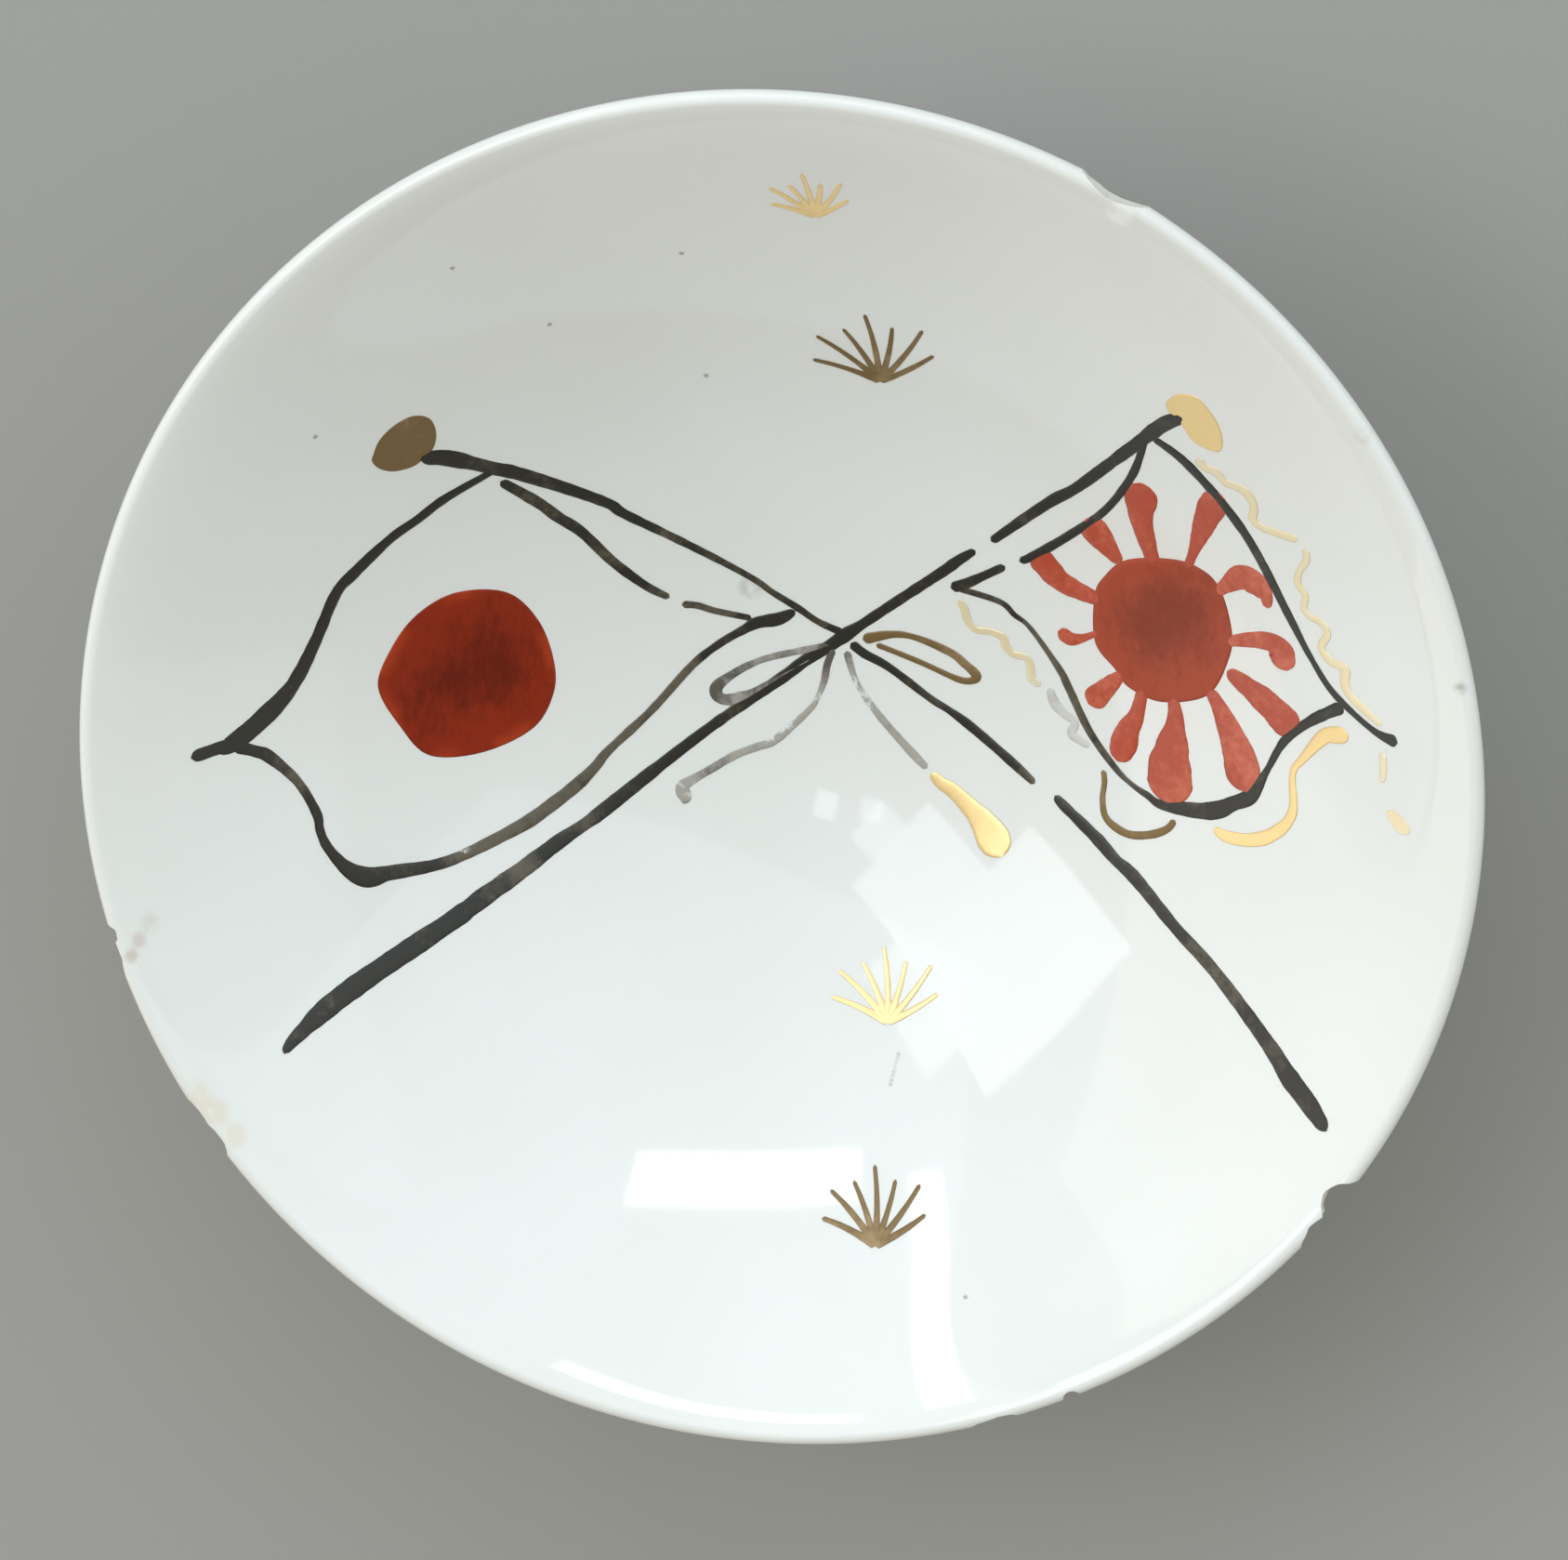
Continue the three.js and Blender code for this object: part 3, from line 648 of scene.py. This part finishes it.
def use_tree(made, tree, values):
    """Puts a tree on an object and sets its inputs by their sockets' identifiers."""
    modifier = made.modifiers.new(tree.name, "NODES")
    modifier.node_group = tree
    for item in tree.interface.items_tree:
        if item.item_type == "SOCKET" and item.in_out == "INPUT" and item.name in values:
            modifier[item.identifier] = values[item.name]


def face_outwards(made):
    shape = bmesh.new()
    shape.from_mesh(made.data)
    bmesh.ops.recalc_face_normals(shape, faces=shape.faces)
    shape.to_mesh(made.data)
    shape.free()


def paint(name, lines, material, nodes, height=enamel_height):
    """Lays brush strokes. A line is a list of x, y, width in millimetres and wear from 0 to 1."""
    mesh = bpy.data.meshes.new(name)
    points, pairs = [], []
    for line in lines:
        first = len(points)
        points += line
        pairs += [(first + i, first + i + 1) for i in range(len(line) - 1)]
    mesh.from_pydata([(p[0] * MM, p[1] * MM, 0) for p in points], pairs, [])
    width = mesh.attributes.new("brush_width", "FLOAT", "POINT")
    width.data.foreach_set("value", [p[2] * MM for p in points])
    wear = mesh.attributes.new("wear", "FLOAT", "POINT")
    wear.data.foreach_set("value", [p[3] if len(p) > 3 else 0.0 for p in points])
    made = bpy.data.objects.new(name, mesh)
    scene.collection.objects.link(made)
    use_tree(made, brush, {
        "Height": height * MM,
        "Sink": enamel_sink * MM,
        "Step": stroke_step * MM,
        "Material": material,
    })
    made = as_plain_mesh(made, name)
    face_outwards(made)
    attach(made, "root")
    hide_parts(*nodes)
    return made


def worn_enamel(name, thick, thin, roughness, metallic=0.0, base_wear=0.0):
    """An enamel that thins to a second colour and then to bare glaze where it is rubbed."""
    made = Shader(name)
    wear = made.add("ShaderNodeAttribute", {"attribute_name": "wear"}).outputs["Fac"]
    wear = made.maths("ADD", wear, base_wear)
    grain = made.cloud(1500, 5, 0.68)
    broad = made.cloud(330, 2, 0.5)
    mixed = made.maths("MULTIPLY_ADD", broad, 0.5, made.maths("MULTIPLY", grain, 0.5))
    level = made.maths("SUBTRACT", made.maths("ADD", mixed, wear), 0.5)
    thinning = made.ramp(level, 0.02, 0.3)
    rubbed = made.ramp(level, 0.36, 0.46)
    colour = made.blend(thinning, thick, thin)
    made.set(Base_Color=made.blend(rubbed, colour, glaze_white))
    if metallic:
        made.set(Metallic=made.maths("MULTIPLY", made.maths("SUBTRACT", 1, rubbed), metallic))
    smoother = made.maths("MULTIPLY", rubbed, roughness - glaze_roughness)
    made.set(Roughness=made.maths("SUBTRACT", roughness, smoother))
    relief = made.add("ShaderNodeBump", Strength=0.25, Distance=0.00004, Height=grain)
    made.set(Normal=relief.outputs["Normal"])
    return made.material


black = worn_enamel("black_line_enamel", (0.017, 0.015, 0.011, 1), (0.115, 0.095, 0.065, 1), 0.3)

# The poles, each painted in one pull from the finial down. The brush was loaded at the butt,
# so a pole thickens downwards and ends in a point. It skipped once on each pole.
paint("right_pole_stroke", [[
    (24.8, 22.9, 0.85), (23.5, 22.1, 1.05), (21.2, 19.8, 0.85), (17.6, 16.3, 0.8),
    (15.6, 14.8, 0.8), (12.1, 11.8, 0.65), (11.5, 11.3, 0.5),
], [
    (10.4, 10.5, 0.5), (9.2, 9.6, 0.75), (7.9, 8.5, 0.75), (3.1, 4.8, 0.7), (1.6, 3.7, 0.95),
    (0.3, 2.7, 0.85), (-1.2, 1.7, 0.88), (-2.8, 0.4, 0.82), (-7.7, -3.2, 0.75),
    (-13.9, -8.1, 1.0, 0.05), (-15.4, -9.2, 0.9, 0.2), (-17.1, -10.3, 1.05),
    (-19.3, -11.9, 1.2, 0.15), (-21.6, -13.4, 1.3, 0.05), (-23.7, -14.8, 1.38), (-29.7, -18.3, 1.5),
    (-32.2, -20.3, 0.93), (-32.9, -21.2, 0.5),
]], black, ["right_pole"])
paint("left_pole_upper_stroke", [[
    (-24.7, 17.4, 0.95), (-23.2, 17.3, 1.2), (-20.4, 16.2, 0.95), (-18.8, 15.6, 1.0),
    (-13.8, 13.2, 0.8), (-12.2, 12.0, 0.7, 0.05), (-5.1, 7.8, 0.47, 0.15), (-3.3, 6.5, 0.47, 0.1),
    (-1.6, 5.4, 0.53), (-0.3, 4.5, 0.47, 0.1), (1.3, 3.8, 0.6),
]], black, ["left_pole_upper"])
paint("left_pole_lower_stroke", [[
    (1.9, 3.1, 0.7), (2.8, 2.4, 0.67), (4.4, 1.6, 0.6), (7.2, -0.3, 0.53), (8.5, -1.0, 0.53),
    (10.1, -2.0, 0.67), (13.3, -4.3, 0.67, 0.1), (14.5, -5.2, 0.5, 0.2),
], [
    (15.9, -5.8, 0.5, 0.15), (16.6, -6.4, 0.74, 0.05), (18.9, -8.1, 0.87), (20.2, -9.2, 0.87),
    (21.6, -10.1, 0.95), (24.5, -12.6, 0.88, 0.05), (27.3, -14.6, 0.94, 0.15),
    (31.4, -18.1, 1.1, 0.15), (32.7, -19.4, 1.35), (34.1, -20.5, 1.33), (35.1, -21.4, 1.0),
    (35.5, -21.8, 0.6),
]], black, ["left_pole_lower"])

# The plain flag's outline: three strokes that hang from the left pole, thin and brown where
# the brush ran dry, with a dark pool at each turn.
paint("plain_flag_outer_stroke", [[
    (-20.5, 16.0, 0.45), (-23.5, 14.3, 0.6), (-25.2, 13.0, 0.6), (-26.9, 11.8, 0.65),
    (-29.2, 9.6, 0.75), (-30.3, 8.3, 0.68), (-31.6, 5.2, 0.75), (-33.0, 2.4, 0.95),
    (-34.8, 0.4, 1.3), (-36.5, -0.9, 1.2), (-37.2, -1.0, 0.85), (-38.2, -1.2, 0.9),
    (-38.7, -1.3, 0.75),
]], black, ["plain_flag_outer_edge"])
paint("plain_flag_lower_stroke", [[
    (-36.3, -1.1, 0.85), (-35.1, -1.7, 0.8), (-34.4, -2.2, 0.75, 0.05), (-32.8, -4.2, 0.52, 0.2),
    (-31.7, -6.5, 0.55, 0.05), (-31.5, -7.6, 0.52), (-31.1, -8.7, 0.55), (-30.3, -9.9, 0.7),
    (-29.5, -10.7, 1.05), (-28.5, -11.2, 1.3), (-27.3, -11.1, 1.05), (-24.8, -11.0, 0.8, 0.05),
    (-22.8, -10.5, 0.75, 0.25), (-19.4, -9.0, 0.95, 0.25), (-17.7, -7.9, 0.95, 0.25),
    (-16.0, -6.6, 0.88, 0.28), (-14.8, -5.4, 0.7, 0.28), (-14.0, -4.4, 0.63, 0.2),
    (-11.3, -1.8, 0.57, 0.25), (-8.6, 1.3, 0.57, 0.25), (-6.8, 2.8, 0.57, 0.1), (-5.2, 3.8, 0.64),
    (-4.3, 4.3, 0.85), (-2.9, 4.6, 0.95), (-1.8, 5.2, 0.5),
]], black, ["plain_flag_lower_edge"])
paint("plain_flag_fold_stroke", [[
    (-20.1, 15.2, 0.7), (-17.9, 13.4, 0.8, 0.1), (-16.8, 12.3, 0.8, 0.1), (-15.4, 11.1, 0.75, 0.1),
    (-13.5, 8.8, 0.7, 0.1), (-11.5, 7.0, 0.62, 0.1), (-10.0, 6.1, 0.5, 0.25),
], [
    (-9.2, 5.6, 0.55, 0.15), (-8.2, 5.5, 0.52, 0.15), (-7.0, 5.1, 0.46, 0.15), (-4.7, 4.6, 0.46),
]], black, ["plain_flag_fold_line"])

# The rayed flag's outline, painted the same way, with its tail out to the right and a pool
# of enamel at its lowest point.
paint("rayed_flag_outer_stroke", [[
    (22.8, 20.9, 0.5), (25.2, 19.3, 0.69), (28.8, 15.3, 0.68), (31.8, 10.1, 0.6), (33.3, 7.6, 0.46),
    (34.9, 5.6, 0.52), (37.5, 4.0, 0.5), (39.2, 3.7, 1.05),
]], black, ["rayed_flag_outer_edge"])
paint("rayed_flag_lower_stroke", [[
    (9.2, 7.6, 0.5), (12.0, 7.0, 0.42, 0.1), (13.0, 6.2, 0.42, 0.1), (14.1, 5.4, 0.36, 0.25),
    (16.1, 2.8, 0.5, 0.28), (16.7, 1.7, 0.6, 0.2), (18.2, -1.1, 0.55, 0.1),
    (20.0, -3.2, 0.48, 0.15), (21.2, -4.1, 0.36, 0.2), (22.3, -4.6, 0.5), (23.3, -5.0, 0.65),
    (25.9, -4.8, 1.1), (27.2, -4.4, 1.17), (28.1, -3.8, 0.95), (29.4, -2.9, 0.95),
    (30.4, -1.0, 0.45), (31.6, 1.4, 0.56), (33.4, 3.3, 0.68), (35.5, 4.9, 0.85),
]], black, ["rayed_flag_lower_edge"])
paint("rayed_flag_fold_stroke", [[
    (22.2, 20.7, 0.5), (21.3, 17.9, 0.58), (19.4, 14.9, 0.54), (16.8, 12.5, 0.62),
    (14.3, 10.6, 0.62), (13.4, 10.1, 0.5, 0.05),
], [
    (12.4, 9.6, 0.55, 0.1), (10.4, 8.4, 0.65), (9.5, 7.9, 0.82), (8.7, 7.6, 0.8),
]], black, ["rayed_flag_fold_line"])

# The red suns and the gilt blobs: pools of enamel, flooded out from the middle, which dry
# with a thicker rim. Each is a patch in rings inside its outline, bent down onto the bowl.
patch_rings = 36
patch_sides = 144


def smooth_loop(corners, count):
    """A closed soft curve through the corners, in evenly numbered points."""
    corners = [Vector(corner) for corner in corners]
    loop = []
    for i in range(count):
        whole, share = divmod(i * len(corners) / count, 1)
        before, start, end, after = (corners[(int(whole) + k - 1) % len(corners)] for k in range(4))
        loop.append(0.5 * (
            2 * start
            + (end - before) * share
            + (2 * before - 5 * start + 4 * end - after) * share**2
            + (3 * start - before - 3 * end + after) * share**3
        ))
    return loop


def patch(name, corners, material, node, height=enamel_height):
    loop = smooth_loop(corners, patch_sides)
    middle = sum(loop, Vector((0, 0))) / patch_sides
    shape = bmesh.new()
    inset = shape.verts.layers.float.new("inset")

    def surface(lift_at):
        rows = []
        for row in range(patch_rings + 1):
            share = row / patch_rings
            lift = lift_at(share)
            spots = [middle] * patch_sides if row == 0 else [middle.lerp(p, share) for p in loop]
            made = [shape.verts.new(on_bowl(p.x, p.y, lift)) for p in spots[:1 if row == 0 else None]]
            for vert in made:
                vert[inset] = share
            rows.append(made * patch_sides if row == 0 else made)
        for low, high in zip(rows, rows[1:]):
            for i in range(patch_sides):
                j = (i + 1) % patch_sides
                shape.faces.new(list(dict.fromkeys([low[i], low[j], high[j], high[i]])))
        return rows[-1]

    # A pool is lowest in the middle, thickest near its rim, and rounded off at the edge.
    top = surface(lambda share: height * (0.75 + 0.25 * share**6) * math.sqrt(1 - share**24))
    bottom = surface(lambda share: -enamel_sink)
    for i in range(patch_sides):
        j = (i + 1) % patch_sides
        shape.faces.new([top[i], top[j], bottom[j], bottom[i]])
    bmesh.ops.recalc_face_normals(shape, faces=shape.faces)
    mesh = bpy.data.meshes.new(name)
    shape.to_mesh(mesh)
    shape.free()
    mesh.polygons.foreach_set("use_smooth", [True] * len(mesh.polygons))
    mesh.materials.append(material)
    made = bpy.data.objects.new(name, mesh)
    scene.collection.objects.link(made)
    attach(made, "root")
    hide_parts(node)


def red_enamel(name, deep, light, rim_light):
    """Iron red: streaky where the brush went round, and paler where it thins at the edge."""
    made = Shader(name)
    out = made.add("ShaderNodeAttribute", {"attribute_name": "inset"}).outputs["Fac"]
    streaks = made.add("ShaderNodeMapping", {"vector_type": "POINT"}, Vector=made.place)
    streaks.inputs["Scale"].default_value = (1.6, 0.7, 1)
    fine = made.cloud(1300, 5, 0.7, streaks.outputs["Vector"])
    broad = made.cloud(170, 3, 0.55)
    level = made.maths("MULTIPLY_ADD", fine, 0.35, made.maths("MULTIPLY", broad, 0.5))
    level = made.maths("MULTIPLY_ADD", made.ramp(out, 0.2, 1.0), 0.15, level)
    body = made.blend(made.ramp(level, 0.36, 0.62), deep, light)
    patchy = made.ramp(made.cloud(240, 2, 0.5), 0.45, 0.62)
    edge = made.maths("MULTIPLY", made.ramp(out, 0.82, 0.98), made.maths("MULTIPLY", patchy, 0.7))
    made.set(Base_Color=made.blend(edge, body, rim_light), Roughness=0.2, Specular_IOR_Level=0.2)
    relief = made.add("ShaderNodeBump", Strength=0.3, Distance=0.00005, Height=fine)
    made.set(Normal=relief.outputs["Normal"])
    return made.material


sun_red = red_enamel(
    "iron_red_sun", (0.135, 0.012, 0.003, 1), (0.275, 0.023, 0.006, 1), (0.44, 0.05, 0.012, 1)
)
patch("plain_flag_sun_patch", [
    (-28.1, 1.4), (-27.3, 3.9), (-25.7, 6.1), (-23.3, 7.4), (-20.2, 7.1), (-18.3, 4.9),
    (-17.4, 1.9), (-17.5, -0.4), (-18.8, -2.6), (-21.9, -3.9), (-25.1, -3.7), (-26.9, -1.4),
], sun_red, "plain_flag_sun")
rayed_red = red_enamel(
    "iron_red_rayed_sun", (0.245, 0.038, 0.016, 1), (0.39, 0.064, 0.029, 1), (0.43, 0.07, 0.034, 1)
)
patch("rayed_flag_sun_patch", [
    (18.5, 8.5), (18.5, 5.2), (19.9, 3.5), (20.9, 2.4), (23.2, 1.9), (26.3, 3.1), (27.7, 5.9),
    (27.9, 8.1), (27.0, 11.0), (25.3, 12.1), (23.2, 12.1), (20.6, 11.4), (19.2, 10.0),
], rayed_red, "rayed_flag_sun")

# The rays: twelve short strokes pulled outwards from the sun. Each swells to a fat wet end,
# and some curl where the painter turned the brush off.
ray_red = worn_enamel(
    "iron_red_rays", (0.45, 0.06, 0.025, 1), (0.62, 0.14, 0.075, 1), 0.24, base_wear=0.1
)
ray_height = 0.045
fat_end = 0.45  # of the width, that a ray's rounded tip reaches past its last point
rays = [
    [(27.4, 7.1, 0.7), (29.2, 7.7, 1.05), (30.5, 7.9, 1.4), (31.2, 7.5, 1.85), (31.4, 7.0, 1.8)],
    [(26.3, 9.9, 0.6), (27.5, 11.1, 1.05), (28.6, 12.0, 1.8), (29.5, 11.8, 1.8), (30.2, 11.1, 1.1),
     (30.3, 10.6, 0.75)],
    [(24.9, 11.8, 0.6), (25.4, 13.3, 0.8), (26.3, 15.9, 1.75), (26.8, 17.0, 1.9)],
    [(22.6, 11.5, 0.9), (21.8, 14.5, 1.65), (21.8, 16.3, 2.3)],
    [(20.3, 11.1, 0.8), (18.6, 13.2, 2.1)],
    [(19.2, 8.1, 0.9), (16.4, 9.0, 1.55), (15.0, 10.3, 1.9)],
    [(18.8, 5.9, 0.4), (17.7, 5.3, 0.57), (16.9, 5.1, 0.95), (16.4, 5.3, 1.0)],
    [(20.4, 3.3, 0.75), (18.6, 1.3, 1.6)],
    [(21.8, 2.4, 0.75), (21.4, 0.6, 1.1), (20.9, -0.4, 1.55), (20.6, -1.4, 1.85), (20.4, -2.0, 1.7)],
    [(23.9, 2.3, 0.9), (24.1, 0.8, 1.3), (23.8, -2.1, 2.8), (23.8, -3.4, 3.1)],
    [(26.4, 3.5, 0.85), (27.3, 2.1, 1.3), (28.5, -0.4, 2.35), (28.8, -1.7, 2.4)],
    [(27.6, 5.1, 0.95), (30.2, 3.7, 1.9), (31.6, 2.7, 2.2)],
]
for number, ray in enumerate(rays, start=1):
    before, (x, y, width) = ray[-2:]
    tip = Vector((x, y)) + (Vector((x, y)) - Vector(before[:2])).normalized() * width * fat_end
    ray.append((tip.x, tip.y, width))
    node = "sun_ray_%02d" % number
    paint(node + "_stroke", [ray], ray_red, [node], height=ray_height)

# Gilding: gold brushed over the glaze. It is bright on the finial, tassel and fringe at the
# right, and rubbed to brown or grey on the left finial and the cord.
gold = worn_enamel("gilding", (0.93, 0.68, 0.33, 1), (0.8, 0.56, 0.27, 1), 0.3, 0.55)
pale_gold = worn_enamel("thin_gilding", (0.88, 0.74, 0.48, 1), (0.85, 0.77, 0.6, 1), 0.32, 0.35, 0.1)
brown_gold = worn_enamel("rubbed_gilding", (0.21, 0.135, 0.055, 1), (0.36, 0.25, 0.13, 1), 0.42, 0.45)
grey_gold = worn_enamel(
    "grey_gilding", (0.1, 0.09, 0.075, 1), (0.38, 0.36, 0.33, 1), 0.5, 0.1, 0.05
)
faded_gold = worn_enamel(
    "faded_gilding", (0.48, 0.46, 0.43, 1), (0.64, 0.62, 0.6, 1), 0.45, 0.1, 0.05
)
patch("left_finial_patch", [
    (-27.4, 18.1), (-26.9, 19.2), (-25.9, 20.2), (-24.8, 20.7), (-23.9, 20.4), (-23.6, 19.4),
    (-23.8, 18.3), (-24.4, 17.5), (-25.2, 16.9), (-26.3, 16.7), (-27.1, 17.0), (-27.5, 17.6),
], brown_gold, "left_finial")
patch("right_finial_patch", [
    (23.8, 23.9), (24.6, 24.7), (25.7, 24.8), (26.4, 24.3), (27.2, 23.1), (27.5, 21.9),
    (27.3, 21.0), (26.5, 20.9), (25.5, 21.3), (24.9, 22.1), (24.5, 22.8), (23.9, 23.2),
], gold, "right_finial")

# The cord: a bow tied over the crossing, in two flat loops and two tails. The left half has
# gone grey. The right tail turns to bright gold and ends in a tassel.
paint("cord_loop_left_stroke", [[
    (0.5, 2.9, 0.4), (-0.6, 2.6, 0.5, 0.1), (-3.4, 1.9, 0.45, 0.15), (-4.9, 1.3, 0.5, 0.1),
    (-6.2, 0.5, 0.6, 0.05), (-7.0, -0.2, 0.85), (-7.0, -0.8, 0.85), (-6.5, -1.1, 0.75),
    (-5.6, -1.0, 0.85, 0.1), (-4.3, -0.4, 0.5, 0.1), (-0.9, 1.8, 0.38, 0.1),
]], grey_gold, ["cord_loop_left"])
paint("cord_loop_right_stroke", [[
    (2.7, 3.4, 0.85), (4.7, 3.9, 0.53), (6.3, 3.8, 0.47), (8.6, 3.0, 0.6, 0.15),
    (9.6, 2.3, 0.6, 0.1), (10.4, 1.6, 0.65), (10.1, 1.2, 0.5), (9.1, 1.2, 0.46), (6.6, 2.1, 0.4),
    (3.6, 3.1, 0.42),
]], brown_gold, ["cord_loop_right"])
paint("cord_tail_left_stroke", [[
    (0.7, 2.6, 0.5), (0.3, 1.5, 0.49, 0.05), (0.1, 0.4, 0.49, 0.15), (-0.3, -0.7, 0.33, 0.35),
    (-0.9, -1.7, 0.43, 0.3), (-3.1, -3.8, 0.56, 0.33), (-4.3, -4.3, 0.56, 0.2),
    (-5.8, -4.9, 0.56, 0.28), (-7.3, -5.8, 0.56, 0.15), (-8.5, -6.5, 0.63, 0.25),
    (-9.2, -7.0, 0.86, 0.25), (-9.0, -7.7, 0.85, 0.25), (-9.1, -8.1, 0.55, 0.05),
]], grey_gold, ["cord_tail_left"])
paint("cord_tail_right_stroke", [[
    (1.6, 2.5, 0.55, 0.1), (2.3, 0.3, 0.4, 0.3), (3.8, -1.8, 0.5, 0.28), (5.7, -3.8, 0.57, 0.25),
    (7.1, -5.1, 0.5, 0.3),
]], grey_gold, ["cord_tail_right"])
paint("cord_tassel_stroke", [[
    (7.4, -5.4, 0.6, 0.1), (8.1, -6.0, 0.9), (8.9, -6.4, 1.05), (9.9, -7.2, 1.2),
    (10.9, -8.1, 1.75), (11.7, -9.1, 2.35), (12.4, -10.3, 2.4),
]], gold, ["cord_tassel"])

# The fringe: a thin gilt line that wavers round the rayed flag, in stretches, with two loose
# loops below it and a bead that has dripped from its end.
paint("fringe_upper_stroke", [[
    (25.7, 20.1, 0.7, 0.1), (26.2, 19.5, 0.6), (27.0, 19.3, 0.6), (27.6, 18.7, 0.6),
    (28.3, 18.6, 0.6), (29.1, 18.2, 0.65), (29.5, 17.3, 0.55), (29.4, 16.5, 0.6),
    (30.1, 16.0, 0.55), (32.4, 15.8, 0.55),
]], pale_gold, ["fringe_upper"])
paint("fringe_outer_stroke", [[
    (32.9, 15.3, 0.5), (33.0, 14.5, 0.5), (32.5, 13.5, 0.45), (32.4, 12.6, 0.5), (32.9, 11.9, 0.5),
    (32.8, 11.0, 0.5), (33.2, 10.5, 0.5), (34.0, 10.3, 0.5), (34.4, 9.6, 0.5), (34.0, 8.6, 0.55),
    (34.6, 7.8, 0.6), (35.6, 7.6, 0.65), (35.6, 6.6, 0.65), (36.1, 5.7, 0.6), (38.1, 4.5, 0.5),
]], pale_gold, ["fringe_outer"])
paint("fringe_inner_stroke", [[
    (9.2, 6.8, 0.5), (9.6, 6.2, 0.6), (9.8, 5.4, 0.6), (10.4, 4.8, 0.52), (11.3, 4.8, 0.52),
    (12.2, 4.5, 0.6), (12.4, 3.9, 0.6), (12.9, 3.4, 0.52), (13.8, 3.3, 0.52), (14.1, 2.7, 0.58),
    (14.2, 1.9, 0.58), (14.8, 1.5, 0.5, 0.2),
]], pale_gold, ["fringe_inner"])
paint("fringe_faded_stroke", [[
    (15.4, 1.4, 0.5, 0.15), (15.8, 0.4, 0.75, 0.1), (16.5, -0.2, 0.58, 0.15),
    (17.2, -0.7, 0.54, 0.1), (17.0, -1.5, 0.62, 0.1), (18.2, -2.1, 0.5, 0.2),
]], faded_gold, ["fringe_faded"])
paint("fringe_arc_right_stroke", [[
    (35.9, 3.1, 1.1), (35.0, 2.8, 1.2), (34.2, 2.4, 0.9), (32.9, 0.6, 0.58), (32.2, -0.6, 0.46),
    (32.3, -2.7, 0.6), (32.1, -3.6, 0.7), (31.5, -4.5, 0.78), (30.4, -5.4, 0.9), (29.1, -5.9, 0.88),
    (27.7, -6.0, 0.75), (26.9, -5.7, 0.5),
]], gold, ["fringe_arc_right"])
paint("fringe_arc_left_stroke", [[
    (19.2, -3.5, 0.4, 0.2), (19.3, -4.3, 0.4, 0.1), (19.2, -5.4, 0.4, 0.1), (19.4, -6.5, 0.48),
    (20.1, -7.1, 0.53), (21.2, -7.4, 0.56), (22.6, -7.1, 0.52), (23.7, -6.5, 0.5),
    (24.2, -5.8, 0.45),
]], brown_gold, ["fringe_arc_left"])
paint("fringe_drip_stroke", [[
    (38.2, 2.7, 0.5, 0.1), (38.3, 1.7, 0.5), (38.2, 0.7, 0.45, 0.1),
]], pale_gold, ["fringe_drip"])
patch("fringe_bead_patch", [
    (38.6, -1.2), (39.1, -0.9), (39.8, -1.2), (40.2, -1.8), (39.9, -2.2), (39.2, -2.1),
], pale_gold, "fringe_bead")

# Pine sprigs in gold above and below the flags: needles that fan out from one bud, each a
# single quick stroke, bright where the gold is whole and grey where it is rubbed.
needle_count = 7
fan_degrees = 130


def sprig(name, centre, length, material, node):
    lines = []
    for i in range(needle_count):
        share = i / (needle_count - 1)
        angle = math.radians(90 + fan_degrees * (share - 0.5))
        reach = length * (0.86 + 0.14 * math.sin(3.1 * i + centre[1]))
        lines.append([
            (
                centre[0] + reach * s * math.cos(angle + 0.12 * s),
                centre[1] + reach * s * math.sin(angle + 0.12 * s),
                0.5 - 0.24 * s,
                0.15 * (1 - s),
            )
            for s in (0.0, 0.35, 0.7, 1.0)
        ])
    paint(name, lines, material, [node])


sprig("gilt_sprig_top_strokes", (1.6, 35.4), 3.6, gold, "gilt_sprig_top")
sprig("gilt_sprig_upper_strokes", (4.6, 22.6), 5.6, brown_gold, "gilt_sprig_upper")
sprig("gilt_sprig_lower_strokes", (5.2, -21.4), 5.0, gold, "gilt_sprig_lower")
sprig("gilt_sprig_bottom_strokes", (5.6, -34.0), 4.8, brown_gold, "gilt_sprig_bottom")
